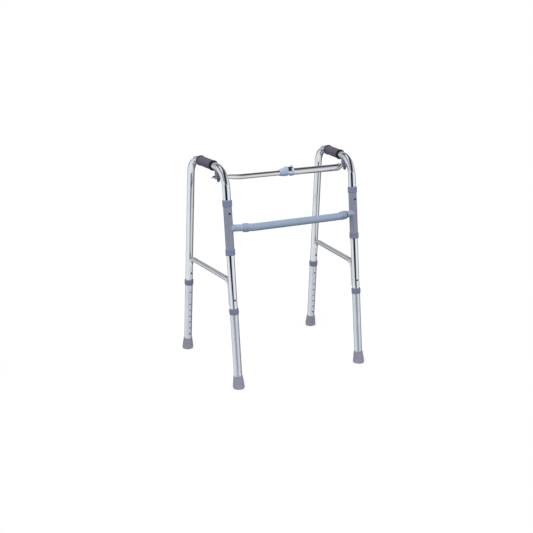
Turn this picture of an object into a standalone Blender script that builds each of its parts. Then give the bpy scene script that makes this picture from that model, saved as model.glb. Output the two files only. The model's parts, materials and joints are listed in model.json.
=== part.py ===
"""Folding walking frame: two hinged side frames, a lower cross bar and a telescopic upper bar."""
import math

import bmesh
import bpy
from mathutils import Matrix, Vector

# Stance, in metres. The front of the frame faces -Y and X runs across it.
FRONT_SPAN = 0.5152
REAR_SPREAD = 0.0267
FOOT_DEPTH = 0.4181
FRONT_LEAN = math.radians(8.23)
REAR_LEAN = math.radians(3.23)
RAIL_HEIGHT_FRONT = 0.7761
RAIL_HEIGHT_REAR = 0.7795
FRONT_BEND = 0.074
REAR_BEND = 0.066

# Clearances shared by every fit.
FIT_GAP = 0.0003
TURN_GAP = 0.0004

# Edge rounding of turned pieces, and how far cutters start from an axis and run past a face.
EDGE_EASE = 0.001
CUT_FROM = 0.005
CUT_PAST = 0.010

# Side frame tube and brace.
TUBE_D = 0.0276
TUBE_WALL = 0.0012
TUBE_END = 0.050
BRACE_D = 0.019
BRACE_WALL = 0.0012
BRACE_BEND = 0.026
BRACE_RISE = 0.100
BRACE_SLOPE = 0.017
BRACE_TAIL_GAP = 0.0085
RIVET_HOLE_D = 0.006
RIVET_HOLE_RISE = 0.0315

# Hand grip on the top rail.
GRIP_FRONT_GAP = 0.0215
GRIP_REAR_GAP = 0.012
GRIP_D = 0.0344
GRIP_FLANGE_D = 0.0372
GRIP_FLANGE_LENGTH = 0.006
GRIP_EASE = 0.0012

# Telescopic lower legs.
LEG_WALL = 0.0009
HOLE_PITCH = 0.0254
HOLE_COUNT = 8
HOLE_ABOVE_END = 0.0155
HOLE_TO_COLLAR = 0.0397
BUTTON_D = 0.0062
BUTTON_PROUD = 0.0020
BUTTON_CROWN = 0.0013
BUTTON_FLANGE_D = 0.0096
BUTTON_FLANGE = 0.0018
BUTTON_SEAT_GAP = 0.0023
SPRING_THICK = 0.0008
SPRING_WIDTH = 0.006
SPRING_LENGTH = 0.044
SPRING_TAIL = 0.004
SPRING_BOW = 0.003
COLLAR_LENGTH = 0.0215
COLLAR_D = 0.034
COLLAR_LIP = 0.003
FOOT_LENGTH = 0.044
FOOT_BASE_D = 0.0424
FOOT_TOP_D = 0.0346
FOOT_FLOOR = 0.011
FOOT_SHOULDER = 0.0158
FOOT_SKIRT = 0.0070
FOOT_FLARE = 0.0012

# Front sleeves that the side frames turn in.
SLEEVE_BELOW_BEND = 0.040
SLEEVE_LENGTH = 0.1953
SLEEVE_WALL = 0.0011
CAP_LENGTH = 0.022
CAP_LIP = 0.003
CAP_WALL = 0.0014
SCREW_DROP = 0.047
SCREW_D = 0.0048
SCREW_HEAD_D = 0.0068
SCREW_HEAD_RISE = 0.0012

# Lower cross bar with its stubs and rings.
BAR_DROP = 0.099
BAR_D = 0.0272
BAR_WALL = 0.0010
BAR_BEND = 0.080
BAR_BEND_START = 0.029
STUB_ANGLE = math.radians(16)
STUB_WALL = 0.0014
STUB_PLUG = 0.003
RING_START = 0.050
RING_LENGTH = 0.020
RING_WALL = 0.0027
RING_LIP = 0.008
STUB_PAST_RING = 0.003

# Upper bar, its pivots and its lock.
PIVOT_BACK = 0.054
PIVOT_DROP = 0.0356
INNER_D = 0.0182
INNER_WALL = 0.0012
INNER_FORWARD = 0.00226
UPPER_FALL = 0.0045
BAR_PLAY = 0.00055
OUTER_WALL = 0.0006
OVERLAP = 0.060
LUG_THICK = 0.0030
LUG_WIDTH = 0.026
LUG_OUTBOARD = 0.026
LUG_INBOARD = 0.0135
LUG_NOSE = 0.008
INNER_BLEND = 0.075
OUTER_BLEND = 0.012
BORE_STOP = 0.004
STUD_D = 0.008
STUD_BELOW = 0.0105
BLOCK_D = 0.024
NUT_FLANGE_D = 0.023
NUT_FLANGE = 0.003
NUT_D = 0.0136
NUT_LENGTH = 0.0125
STOP_D = 0.0084
STOP_HEIGHT = 0.0055
STOP_GAP = 0.0010
LOCK_START = -0.0108
LOCK_LENGTH = 0.0234
LOCK_TRAVEL = 0.0038
LOCK_LIP = 0.003
LOCK_WALL = 0.0010
LOCK_RISE = 0.0051
NOSE_WALL = 0.0012
EAR_LENGTH = 0.0050
EAR_WALL = 0.0018
EAR_RISE = 0.0096
WEB_LENGTH = 0.0153
WEB_TOP = 0.0184
WEB_HALF = 0.0070
MOUTH_INSET = 0.0015
COIL_WIRE = 0.0009
COIL_TURNS = 3
COIL_STEPS = 8
COIL_POCKET = 0.0135
SHOULDER_LENGTH = 0.003

# Facet counts.
TUBE_SIDES = 18
BORE_SIDES = 20
SMALL_SIDES = 12
BRACE_SIDES = 10
BEND_STEPS = 5

for old in list(bpy.data.objects):
    bpy.data.objects.remove(old, do_unlink=True)

scene = bpy.context.scene
parts = bpy.data.collections.new("walking_frame")
cutters = bpy.data.collections.new("walking_frame_cutters")
scene.collection.children.link(parts)
scene.collection.children.link(cutters)


def principled(name, colour, roughness, metallic):
    """Return a plain Principled material."""
    made = bpy.data.materials.new(name)
    made.use_nodes = True
    shader = made.node_tree.nodes["Principled BSDF"]
    shader.inputs["Base Color"].default_value = (*colour, 1.0)
    shader.inputs["Roughness"].default_value = roughness
    shader.inputs["Metallic"].default_value = metallic
    made.diffuse_color = (*colour, 1.0)
    return made


POLISHED = principled("polished aluminium", (0.80, 0.81, 0.82), 0.12, 1.0)
SATIN = principled("satin aluminium", (0.74, 0.75, 0.77), 0.35, 1.0)
CHROME = principled("chrome plated steel", (0.82, 0.82, 0.83), 0.06, 1.0)
ENAMEL = principled("blue grey enamel", (0.24, 0.30, 0.39), 0.35, 0.3)
SLEEVE_PAINT = principled("grey sleeve enamel", (0.20, 0.22, 0.28), 0.40, 0.2)
PLASTIC = principled("blue grey plastic", (0.20, 0.22, 0.32), 0.45, 0.0)
PALE_PLASTIC = principled("pale blue plastic", (0.40, 0.47, 0.62), 0.40, 0.0)
RUBBER = principled("grey rubber", (0.24, 0.23, 0.27), 0.75, 0.0)
GRIP_RUBBER = principled("dark grip rubber", (0.10, 0.09, 0.12), 0.70, 0.0)
DARK_STEEL = principled("dark steel", (0.10, 0.09, 0.09), 0.35, 1.0)
ZINC = principled("zinc plated steel", (0.42, 0.42, 0.44), 0.35, 1.0)


def frame_at(origin, x_dir, z_dir):
    """Return the matrix of a local frame with its Z along z_dir and X near x_dir."""
    up = Vector(z_dir).normalized()
    across = Vector(x_dir)
    across = (across - up * across.dot(up)).normalized()
    side = up.cross(across)
    turn = Matrix((across, side, up)).transposed().to_4x4()
    return Matrix.Translation(Vector(origin)) @ turn


def new_object(name, mesh, home=parts):
    """Link a mesh as a named object."""
    made = bpy.data.objects.new(name, mesh)
    home.objects.link(made)
    return made


def bake(made):
    """Replace an object's mesh by its evaluated mesh and drop its modifiers."""
    view = bpy.context.evaluated_depsgraph_get()
    view.update()
    mesh = bpy.data.meshes.new_from_object(made.evaluated_get(view))
    made.modifiers.clear()
    made.data = mesh
    tidy(mesh)
    return made


def tidy(mesh):
    """Merge doubled points and face every surface outward."""
    work = bmesh.new()
    work.from_mesh(mesh)
    bmesh.ops.remove_doubles(work, verts=work.verts, dist=0.000005)
    bmesh.ops.recalc_face_normals(work, faces=work.faces)
    work.to_mesh(mesh)
    work.free()


def spin(name, profile, frame, sides=TUBE_SIDES, home=parts):
    """Turn a profile of (radius, height) points about the Z axis of a frame."""
    mesh = bpy.data.meshes.new(name)
    points = [(radius, 0.0, height) for radius, height in profile]
    edges = [(i, i + 1) for i in range(len(points) - 1)]
    if profile[0][0] > 0:
        edges.append((len(points) - 1, 0))
    mesh.from_pydata(points, edges, [])
    made = new_object(name, mesh, home)
    screw = made.modifiers.new("turn", "SCREW")
    screw.axis = "Z"
    screw.angle = math.tau
    screw.steps = sides
    screw.render_steps = sides
    screw.use_merge_vertices = True
    screw.merge_threshold = 0.00001
    screw.use_smooth_shade = False
    bake(made)
    made.data.transform(frame)
    return made


def rod(name, frame, diameter, low, high, sides=SMALL_SIDES, home=cutters):
    """Make a plain cylinder along the Z axis of a frame."""
    radius = diameter / 2
    return spin(name, [(0, high), (radius, high), (radius, low), (0, low)], frame, sides, home)


def hollow(name, frame, outer, inner, low, high, sides=TUBE_SIDES):
    """Make a straight tube along the Z axis of a frame."""
    ring = [(inner / 2, high), (outer / 2, high), (outer / 2, low), (inner / 2, low)]
    return spin(name, ring, frame, sides)


def pipe(name, points, diameter, wall, sides=TUBE_SIDES, home=parts):
    """Sweep a round section along a path, hollow when a wall is given."""
    curve = bpy.data.curves.new(name, "CURVE")
    curve.dimensions = "3D"
    curve.bevel_depth = diameter / 2
    curve.bevel_resolution = sides // 2 - 2
    curve.use_fill_caps = wall is None
    spline = curve.splines.new("POLY")
    spline.points.add(len(points) - 1)
    for point, place in zip(spline.points, points):
        point.co = (*place, 1.0)
    holder = new_object(name + "_path", curve, cutters)
    view = bpy.context.evaluated_depsgraph_get()
    view.update()
    mesh = bpy.data.meshes.new_from_object(holder.evaluated_get(view))
    bpy.data.objects.remove(holder, do_unlink=True)
    mesh.name = name
    tidy(mesh)
    made = new_object(name, mesh, home)
    if wall is not None:
        shell = made.modifiers.new("wall", "SOLIDIFY")
        shell.thickness = wall
        shell.offset = -1.0
        shell.use_even_offset = True
        bake(made)
    return made


def loft(name, rings, home=parts):
    """Skin a row of rings that have equal point counts and cap both ends."""
    count = len(rings[0])
    work = bmesh.new()
    rows = [[work.verts.new(point) for point in ring] for ring in rings]
    for row, following in zip(rows, rows[1:]):
        for i in range(count):
            j = (i + 1) % count
            work.faces.new((row[i], row[j], following[j], following[i]))
    work.faces.new(rows[0])
    work.faces.new(rows[-1])
    bmesh.ops.recalc_face_normals(work, faces=work.faces)
    mesh = bpy.data.meshes.new(name)
    work.to_mesh(mesh)
    work.free()
    return new_object(name, mesh, home)


def slab(name, frame, low, high, home=parts):
    """Make a box between two corners in a frame."""
    mesh = bpy.data.meshes.new(name)
    work = bmesh.new()
    bmesh.ops.create_cube(work, size=1.0)
    for vert in work.verts:
        vert.co = [low[i] + (high[i] - low[i]) * (vert.co[i] + 0.5) for i in range(3)]
    work.to_mesh(mesh)
    work.free()
    mesh.transform(frame)
    return new_object(name, mesh, home)


def combine(target, tool, operation="DIFFERENCE"):
    """Join or cut a part with a helper that stays hidden."""
    edit = target.modifiers.new(tool.name, "BOOLEAN")
    edit.operation = operation
    edit.solver = "EXACT"
    edit.object = tool
    tool.hide_render = True
    tool.display_type = "WIRE"


def merge_helpers(name, helpers):
    """Gather separate helper solids into one cutter."""
    work = bmesh.new()
    for helper in helpers:
        work.from_mesh(helper.data)
        bpy.data.objects.remove(helper, do_unlink=True)
    mesh = bpy.data.meshes.new(name)
    work.to_mesh(mesh)
    work.free()
    return new_object(name, mesh, cutters)


def finish(made, look, origin):
    """Give a part its material and put its origin on its joint axis."""
    made.data.materials.clear()
    made.data.materials.append(look)
    made.data.transform(Matrix.Translation(-Vector(origin)))
    made.location = origin


def rounded_path(corners, radii, steps):
    """Return a path through the corners with each inner corner rounded."""
    path = [corners[0]]
    for before, corner, after, radius in zip(corners, corners[1:], corners[2:], radii):
        back = (before - corner).normalized()
        ahead = (after - corner).normalized()
        angle = back.angle(ahead)
        reach = radius / math.tan(angle / 2)
        centre = corner + (back + ahead).normalized() * (radius / math.sin(angle / 2))
        first = corner + back * reach - centre
        last = corner + ahead * reach - centre
        sweep = first.angle(last)
        for i in range(steps + 1):
            share = i / steps
            blend = first * math.sin((1 - share) * sweep) + last * math.sin(share * sweep)
            path.append(centre + blend / math.sin(sweep))
    path.append(corners[-1])
    return path


def oval(centre, across, up, half_width, low, high, count, power=2.0):
    """Return a ring with separate reaches below and above its centre."""
    ring = []
    for i in range(count):
        turn = math.tau * i / count
        c = math.cos(turn)
        s = math.sin(turn)
        wide = math.copysign(abs(c) ** (2 / power), c) * half_width
        tall = math.copysign(abs(s) ** (2 / power), s) * (high if s > 0 else low)
        ring.append(centre + across * wide + up * tall)
    return ring


# Shared directions: the front legs are parallel and lean back by FRONT_LEAN.
LEG_UP = Vector((0, math.sin(FRONT_LEAN), math.cos(FRONT_LEAN)))
FORWARD = Vector((0, -math.cos(FRONT_LEAN), math.sin(FRONT_LEAN)))
AHEAD = Vector((0, -1, 0))
LEG_SPLAY = FRONT_LEAN + REAR_LEAN
LEG_BORE = TUBE_D + 2 * FIT_GAP
LEG_D = LEG_BORE + 2 * LEG_WALL
SLEEVE_BORE = TUBE_D + 2 * TURN_GAP
SLEEVE_D = SLEEVE_BORE + 2 * SLEEVE_WALL
CAP_D = SLEEVE_D + 2 * FIT_GAP + 2 * CAP_WALL

# The side plane, measured up the front leg and straight back from it.
FRONT_CORNER = RAIL_HEIGHT_FRONT / math.cos(FRONT_LEAN)
REACH_UP = FOOT_DEPTH * math.sin(FRONT_LEAN)
REACH_BACK = math.hypot(REAR_SPREAD, FOOT_DEPTH * math.cos(FRONT_LEAN))
BACK_FALL = REACH_UP * math.cos(FRONT_LEAN) / REACH_BACK
REAR_RISE = math.cos(LEG_SPLAY) * math.cos(FRONT_LEAN) + math.sin(LEG_SPLAY) * BACK_FALL
REAR_CORNER = RAIL_HEIGHT_REAR / REAR_RISE
RAIL_RUN = REACH_BACK - math.sin(LEG_SPLAY) * REAR_CORNER
RAIL_SLOPE = (REACH_UP + math.cos(LEG_SPLAY) * REAR_CORNER - FRONT_CORNER) / RAIL_RUN
FRONT_TURN = math.pi / 2 + math.atan(RAIL_SLOPE)
SLEEVE_TOP = FRONT_CORNER - FRONT_BEND / math.tan(FRONT_TURN / 2) - SLEEVE_BELOW_BEND
SLEEVE_LOW = SLEEVE_TOP - SLEEVE_LENGTH
PIVOT_HEIGHT = FRONT_CORNER + PIVOT_BACK * RAIL_SLOPE - PIVOT_DROP
BAR_HEIGHT = SLEEVE_TOP - BAR_DROP
HOLE_FIRST = TUBE_END + HOLE_ABOVE_END
COLLAR_HEIGHT = HOLE_FIRST + HOLE_PITCH * (HOLE_COUNT - 1) + HOLE_TO_COLLAR
COLLAR_TOP = COLLAR_HEIGHT + COLLAR_LENGTH / 2
COLLAR_FOOT = COLLAR_HEIGHT - COLLAR_LENGTH / 2
LEG_TOP = COLLAR_TOP - COLLAR_LIP - FIT_GAP
BUTTON_SEAT = TUBE_D / 2 - TUBE_WALL - BUTTON_SEAT_GAP
STUB_D = BAR_D - 2 * BAR_WALL - 2 * FIT_GAP
OUTER_BORE = INNER_D + 2 * (INNER_FORWARD + BAR_PLAY)
OUTER_D = OUTER_BORE + 2 * OUTER_WALL
LOCK_END = LOCK_START + LOCK_LENGTH
WEB_START = LOCK_END + LOCK_TRAVEL + FIT_GAP
EAR_START = WEB_START + WEB_LENGTH
OUTER_MOUTH = EAR_START + MOUTH_INSET


class Side:
    """Directions and points of one side frame, in its own plane."""

    def __init__(self, name, sign):
        """Work out the plane of the left or right side frame."""
        self.name = name
        self.sign = sign
        self.foot = Vector((sign * FRONT_SPAN / 2, -FOOT_DEPTH / 2, 0))
        reach = Vector((sign * REAR_SPREAD, FOOT_DEPTH, 0))
        along = reach.dot(LEG_UP)
        back = reach - LEG_UP * along
        self.back = back.normalized()
        self.out = self.back.cross(LEG_UP) if sign > 0 else LEG_UP.cross(self.back)
        self.rear_foot = self.foot + reach
        self.rear_up = LEG_UP * math.cos(LEG_SPLAY) - self.back * math.sin(LEG_SPLAY)
        self.rear_back = self.back * math.cos(LEG_SPLAY) + LEG_UP * math.sin(LEG_SPLAY)
        self.front_corner = self.foot + LEG_UP * FRONT_CORNER
        self.rear_corner = self.rear_foot + self.rear_up * REAR_CORNER
        self.rail = (self.rear_corner - self.front_corner).normalized()
        self.pivot = self.foot + self.back * PIVOT_BACK + LEG_UP * PIVOT_HEIGHT
        self.turn = self.foot + LEG_UP * BAR_HEIGHT

    def leg_path(self):
        """Return the corners of the bent side tube."""
        start = self.foot + LEG_UP * TUBE_END
        end = self.rear_foot + self.rear_up * TUBE_END
        corners = [start, self.front_corner, self.rear_corner, end]
        return rounded_path(corners, [FRONT_BEND, REAR_BEND], BEND_STEPS)

    def brace_path(self):
        """Return the corners of the brace with its two tails."""
        offset = (TUBE_D + BRACE_D) / 2 + FIT_GAP
        front_base = self.foot + self.back * offset
        rear_base = self.rear_foot - self.rear_back * offset

        low = COLLAR_TOP + BRACE_TAIL_GAP
        corners = [
            front_base + LEG_UP * low,
            front_base + LEG_UP * (low + BRACE_RISE),
            rear_base + self.rear_up * (low + BRACE_RISE - BRACE_SLOPE),
            rear_base + self.rear_up * low,
        ]
        return rounded_path(corners, [BRACE_BEND, BRACE_BEND], BEND_STEPS - 1)

    def legs(self):
        """Return name, floor point, up, inner and front directions of both legs."""
        front = (self.name + "_front", self.foot, LEG_UP, self.back, -self.back)
        inner = -self.rear_back
        rear = (self.name + "_rear", self.rear_foot, self.rear_up, inner, inner)
        return [front, rear]


def build_side_frame(side):
    """Build the bent tube, brace and grip of one side."""
    tube = pipe(side.name + "_frame_tube", side.leg_path(), TUBE_D, TUBE_WALL)
    holes = []
    for leg, floor, up, inner, front in side.legs():
        button = frame_at(floor + up * HOLE_FIRST, up, inner)
        holes.append(rod(leg + "_button_port", button, BUTTON_D + 2 * FIT_GAP, CUT_FROM, TUBE_D))
        rivet = frame_at(floor + up * (COLLAR_TOP + RIVET_HOLE_RISE), up, front)
        holes.append(rod(leg + "_rivet_port", rivet, RIVET_HOLE_D, CUT_FROM, TUBE_D, 8))
    stud = frame_at(side.pivot, side.back, LEG_UP)
    holes.append(rod(side.name + "_stud_port", stud, STUD_D + 2 * FIT_GAP, 0, PIVOT_DROP))
    combine(tube, merge_helpers(side.name + "_tube_ports", holes))
    finish(tube, POLISHED, side.turn)

    brace = pipe(side.name + "_brace", side.brace_path(), BRACE_D, BRACE_WALL, BRACE_SIDES)
    finish(brace, CHROME, side.turn)

    rear_turn = (side.rear_foot - side.rear_corner).angle(-side.rail)
    straight = (side.rear_corner - side.front_corner).length
    first = FRONT_BEND / math.tan(FRONT_TURN / 2) + GRIP_FRONT_GAP
    last = straight - REAR_BEND / math.tan(rear_turn / 2) - GRIP_REAR_GAP
    start = side.front_corner + side.rail * first
    bore = TUBE_D / 2 + FIT_GAP
    rim = GRIP_FLANGE_D / 2
    body = GRIP_D / 2
    end = last - first
    outline = [
        (bore, end),
        (rim - GRIP_EASE, end),
        (rim, end - GRIP_EASE),
        (rim, end - GRIP_FLANGE_LENGTH),
        (body, end - GRIP_FLANGE_LENGTH - GRIP_EASE),
        (body, GRIP_FLANGE_LENGTH + GRIP_EASE),
        (rim, GRIP_FLANGE_LENGTH),
        (rim, GRIP_EASE),
        (rim - GRIP_EASE, 0),
        (bore, 0),
    ]
    grip = spin(side.name + "_grip", outline, frame_at(start, side.out, side.rail))
    finish(grip, GRIP_RUBBER, side.turn)


def build_leg(leg, floor, up, inner):
    """Build one telescopic leg with its collar, foot, button and spring."""
    frame = frame_at(floor, inner, up)
    origin = floor + up * COLLAR_HEIGHT
    tube = hollow(leg + "_leg_tube", frame, LEG_D, LEG_BORE, FOOT_FLOOR + FIT_GAP, LEG_TOP)
    holes = []
    for i in range(HOLE_COUNT):
        place = frame_at(floor + up * (HOLE_FIRST + HOLE_PITCH * i), up, inner)
        wide = BUTTON_D + 2.5 * FIT_GAP
        holes.append(rod(f"{leg}_height_hole_{i}", place, wide, CUT_FROM, LEG_D, 8))
    combine(tube, merge_helpers(leg + "_height_holes", holes))
    finish(tube, SATIN, origin)

    outer = COLLAR_D / 2
    over_leg = LEG_D / 2 + FIT_GAP
    over_tube = TUBE_D / 2 + FIT_GAP
    outline = [
        (over_tube, COLLAR_TOP),
        (outer - EDGE_EASE, COLLAR_TOP),
        (outer, COLLAR_TOP - EDGE_EASE),
        (outer, COLLAR_FOOT + EDGE_EASE),
        (outer - EDGE_EASE, COLLAR_FOOT),
        (over_leg, COLLAR_FOOT),
        (over_leg, COLLAR_TOP - COLLAR_LIP),
        (over_tube, COLLAR_TOP - COLLAR_LIP),
    ]
    finish(spin(leg + "_collar", outline, frame), PLASTIC, origin)

    base = FOOT_BASE_D / 2
    top = FOOT_TOP_D / 2
    below = base * math.tan(FRONT_LEAN) + CUT_PAST
    outline = [
        (0, FOOT_FLOOR),
        (over_leg, FOOT_FLOOR),
        (over_leg, FOOT_LENGTH),
        (top - EDGE_EASE, FOOT_LENGTH),
        (top, FOOT_LENGTH - EDGE_EASE),
        (base - FOOT_FLARE, FOOT_SHOULDER),
        (base, FOOT_SKIRT),
        (base, -below),
        (0, -below),
    ]
    foot = spin(leg + "_foot", outline, frame)
    low = (floor.x - base * 2, floor.y - base * 2, -below * 3)
    high = (floor.x + base * 2, floor.y + base * 2, 0)
    combine(foot, slab(leg + "_floor_cut", Matrix.Identity(4), low, high, cutters))
    finish(foot, RUBBER, origin)

    port = floor + up * HOLE_FIRST
    press = frame_at(port, up, inner)
    tip = LEG_D / 2 + BUTTON_PROUD
    shank = BUTTON_D / 2
    outline = [
        (0, tip),
        (shank * 0.7, tip - BUTTON_CROWN / 4),
        (shank, tip - BUTTON_CROWN),
        (shank, BUTTON_SEAT),
        (BUTTON_FLANGE_D / 2, BUTTON_SEAT),
        (BUTTON_FLANGE_D / 2, BUTTON_SEAT - BUTTON_FLANGE),
        (0, BUTTON_SEAT - BUTTON_FLANGE),
    ]
    finish(spin(leg + "_button", outline, press, 10), DARK_STEEL, port)

    half = SPRING_WIDTH / 2
    face = BUTTON_SEAT - BUTTON_FLANGE - FIT_GAP - SPRING_THICK / 2
    bore = TUBE_D / 2 - TUBE_WALL
    wall = math.sqrt((bore - FIT_GAP * 1.5) ** 2 - half**2) - SPRING_THICK / 2
    bend = SPRING_LENGTH - SPRING_TAIL
    path = [(face, -SPRING_TAIL), (face, SPRING_TAIL), (SPRING_BOW, bend), (0, SPRING_LENGTH)]
    path += [(-SPRING_BOW, bend), (-wall, SPRING_TAIL), (-wall, -SPRING_TAIL / 2)]
    side_dir = up.cross(inner)
    rings = []
    for i, (out, high) in enumerate(path):
        before = Vector(path[max(i - 1, 0)])
        after = Vector(path[min(i + 1, len(path) - 1)])
        run = (after - before).normalized()
        normal = Vector((run.y, -run.x)) * SPRING_THICK / 2
        near = port + inner * (out + normal.x) + up * (high + normal.y)
        far = port + inner * (out - normal.x) + up * (high - normal.y)
        wide = side_dir * half
        rings.append([near + wide, near - wide, far - wide, far + wide])
    finish(loft(leg + "_button_spring", rings), ZINC, port)


def build_sleeve(side):
    """Build the sleeve with its stub, the end caps, the ring and the screw of one side."""
    frame = frame_at(side.foot, side.back, LEG_UP)
    low = SLEEVE_LOW + CAP_LIP + FIT_GAP
    high = SLEEVE_TOP - CAP_LIP - FIT_GAP
    radius = SLEEVE_D / 2
    body = [(0, high), (radius, high), (radius, low), (0, low)]
    sleeve = spin(side.name + "_sleeve", body, frame)
    inward = Vector((-side.sign, 0, 0))
    along = inward * math.cos(STUB_ANGLE) + AHEAD * math.sin(STUB_ANGLE)
    stub = frame_at(side.turn, LEG_UP.cross(along), along)
    stub_end = RING_START + RING_LENGTH + STUB_PAST_RING
    arm = rod(side.name + "_stub_arm", stub, STUB_D, 0, stub_end, TUBE_SIDES)
    combine(sleeve, arm, "UNION")
    past = high + CUT_PAST
    bore = rod(side.name + "_sleeve_bore", frame, SLEEVE_BORE, low - CUT_PAST, past, TUBE_SIDES)
    combine(sleeve, bore)
    inside = STUB_D - 2 * STUB_WALL
    plug = SLEEVE_D / 2 + STUB_PLUG
    hole = rod(side.name + "_stub_bore", stub, inside, plug, stub_end + CUT_PAST)
    combine(sleeve, hole)
    facing = frame_at(side.foot + LEG_UP * (SLEEVE_TOP - SCREW_DROP), LEG_UP, FORWARD)
    port = rod(side.name + "_screw_port", facing, SCREW_D + 2 * FIT_GAP, CUT_FROM, SLEEVE_D)
    combine(sleeve, port)
    finish(sleeve, SLEEVE_PAINT, side.turn)

    under = SLEEVE_BORE / 2 + FIT_GAP
    seat = radius + FIT_GAP
    head = SCREW_HEAD_D / 2
    outline = [
        (0, seat + SCREW_HEAD_RISE),
        (head * 0.7, seat + SCREW_HEAD_RISE * 0.8),
        (head, seat),
        (SCREW_D / 2, seat),
        (SCREW_D / 2, under),
        (0, under),
    ]
    finish(spin(side.name + "_sleeve_screw", outline, facing, 10), DARK_STEEL, side.turn)

    outer = CAP_D / 2
    over_sleeve = radius + FIT_GAP
    over_tube = SLEEVE_BORE / 2
    outline = [
        (over_tube, CAP_LENGTH),
        (outer - EDGE_EASE, CAP_LENGTH),
        (outer, CAP_LENGTH - EDGE_EASE),
        (outer, EDGE_EASE),
        (outer - EDGE_EASE, 0),
        (over_sleeve, 0),
        (over_sleeve, CAP_LENGTH - CAP_LIP),
        (over_tube, CAP_LENGTH - CAP_LIP),
    ]
    top = frame_at(side.foot + LEG_UP * (SLEEVE_TOP - CAP_LENGTH), side.back, LEG_UP)
    finish(spin(side.name + "_upper_cap", outline, top), PLASTIC, side.turn)
    bottom = frame_at(side.foot + LEG_UP * (SLEEVE_LOW + CAP_LENGTH), side.back, -LEG_UP)
    finish(spin(side.name + "_lower_cap", outline, bottom), PLASTIC, side.turn)

    over_stub = STUB_D / 2 + FIT_GAP
    over_bar = BAR_D / 2 + FIT_GAP
    outer = over_bar + RING_WALL
    step = RING_START + RING_LIP
    end = RING_START + RING_LENGTH
    outline = [
        (over_bar, end),
        (outer - EDGE_EASE, end),
        (outer, end - EDGE_EASE),
        (outer, RING_START + EDGE_EASE),
        (outer - EDGE_EASE, RING_START),
        (over_stub, RING_START),
        (over_stub, step),
        (over_bar, step),
    ]
    finish(spin(side.name + "_bar_ring", outline, stub), PLASTIC, side.turn)
    begin = side.turn + along * (step + FIT_GAP)
    return begin, along


def build_cross_bar(left, right):
    """Build the lower cross bar between the two stubs."""
    corners = [left[0]]
    for begin, along in (left, right):
        corners.append(begin + along * BAR_BEND_START)
    corners.append(right[0])
    path = rounded_path(corners, [BAR_BEND, BAR_BEND], 2)
    bar = pipe("cross_bar", path, BAR_D, BAR_WALL)
    finish(bar, ENAMEL, LEFT.turn.lerp(RIGHT.turn, 0.5))


def bar_half(name, side, diameter, wall, reach, shift, sides, fan):
    """Build one half of the upper bar with its flattened pivot end."""
    inward = Vector((-side.sign, 0, 0))
    across = FORWARD
    half = diameter / 2
    flat = LUG_THICK / 2
    wide = LUG_WIDTH / 2
    blend = LUG_INBOARD + fan
    stations = [
        (-LUG_OUTBOARD, wide * 0.45, flat, 0, 4),
        (-LUG_OUTBOARD + LUG_NOSE * 0.375, wide * 0.78, flat, 0, 4),
        (-LUG_OUTBOARD + LUG_NOSE, wide, flat, 0, 4),
        (LUG_INBOARD, wide, flat, 0, 4),
        (LUG_INBOARD + fan * 0.5, (wide + half) / 2, (flat + half) / 2, 0.5, 2.6),
        (blend, half, half, 1, 2),
        (reach, half, half, 1, 2),
    ]
    offset = across * shift - LEG_UP * UPPER_FALL
    rings = []
    for along, broad, tall, share, power in stations:
        centre = side.pivot + inward * along + offset * share
        rings.append(oval(centre, across, LEG_UP, broad, tall, tall, sides, power))
    bore = half - wall
    for along in (reach, blend + BORE_STOP):
        centre = side.pivot + inward * along + offset
        rings.append(oval(centre, across, LEG_UP, bore, bore, bore, sides))
    made = loft(name, rings)
    hole = frame_at(side.pivot, side.back, LEG_UP)
    combine(made, rod(name + "_stud_hole", hole, STUD_D + 2 * FIT_GAP, -CUT_PAST, CUT_PAST))
    finish(made, CHROME, side.pivot)

    out = BLOCK_D / 2 + STOP_GAP + STOP_D / 2
    seat = side.pivot - inward * out + LEG_UP * (flat + FIT_GAP)
    outline = [(0, STOP_HEIGHT), (STOP_D * 0.4, STOP_HEIGHT), (STOP_D / 2, STOP_HEIGHT * 0.75)]
    outline += [(STOP_D / 2, 0), (0, 0)]
    stop = spin(side.name + "_lug_stop", outline, frame_at(seat, inward, LEG_UP), 10)
    finish(stop, GRIP_RUBBER, side.pivot)


def build_pivot(side):
    """Build the saddle block, stud and nut that carry one end of the upper bar."""
    frame = frame_at(side.pivot, side.back, LEG_UP)
    rest = LUG_THICK / 2 + FIT_GAP
    top = PIVOT_DROP - TUBE_D * 0.25
    wide = BLOCK_D / 2
    outline = [(0, top), (wide, top), (wide, rest + EDGE_EASE), (wide - EDGE_EASE, rest), (0, rest)]
    block = spin(side.name + "_pivot_block", outline, frame)
    seat = pipe(side.name + "_saddle", side.leg_path(), TUBE_D + 2 * FIT_GAP, None, 24, cutters)
    combine(block, seat)
    bore = rod(side.name + "_block_bore", frame, STUD_D + 2 * FIT_GAP, -CUT_PAST, top + CUT_PAST)
    combine(block, bore)
    finish(block, PLASTIC, side.turn)

    stud_top = PIVOT_DROP - TUBE_D * 0.2
    radius = STUD_D / 2
    foot = -rest - STUD_BELOW
    outline = [(0, stud_top), (radius - EDGE_EASE, stud_top), (radius, stud_top - EDGE_EASE)]
    outline += [(radius, foot + EDGE_EASE), (radius - EDGE_EASE, foot), (0, foot)]
    finish(spin(side.name + "_pivot_stud", outline, frame, SMALL_SIDES), ZINC, side.turn)

    bore = radius + FIT_GAP
    flange = NUT_FLANGE_D / 2
    barrel = NUT_D / 2
    outline = [
        (0, -rest - STUD_BELOW - FIT_GAP),
        (bore, -rest - STUD_BELOW - FIT_GAP),
        (bore, -rest),
        (flange, -rest),
        (flange, -rest - NUT_FLANGE),
        (barrel, -rest - NUT_FLANGE),
        (barrel, -rest - NUT_LENGTH * 0.75),
        (barrel * 0.6, -rest - NUT_LENGTH),
        (0, -rest - NUT_LENGTH),
    ]
    finish(spin(side.name + "_pivot_nut", outline, frame, SMALL_SIDES), ZINC, side.turn)


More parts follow.
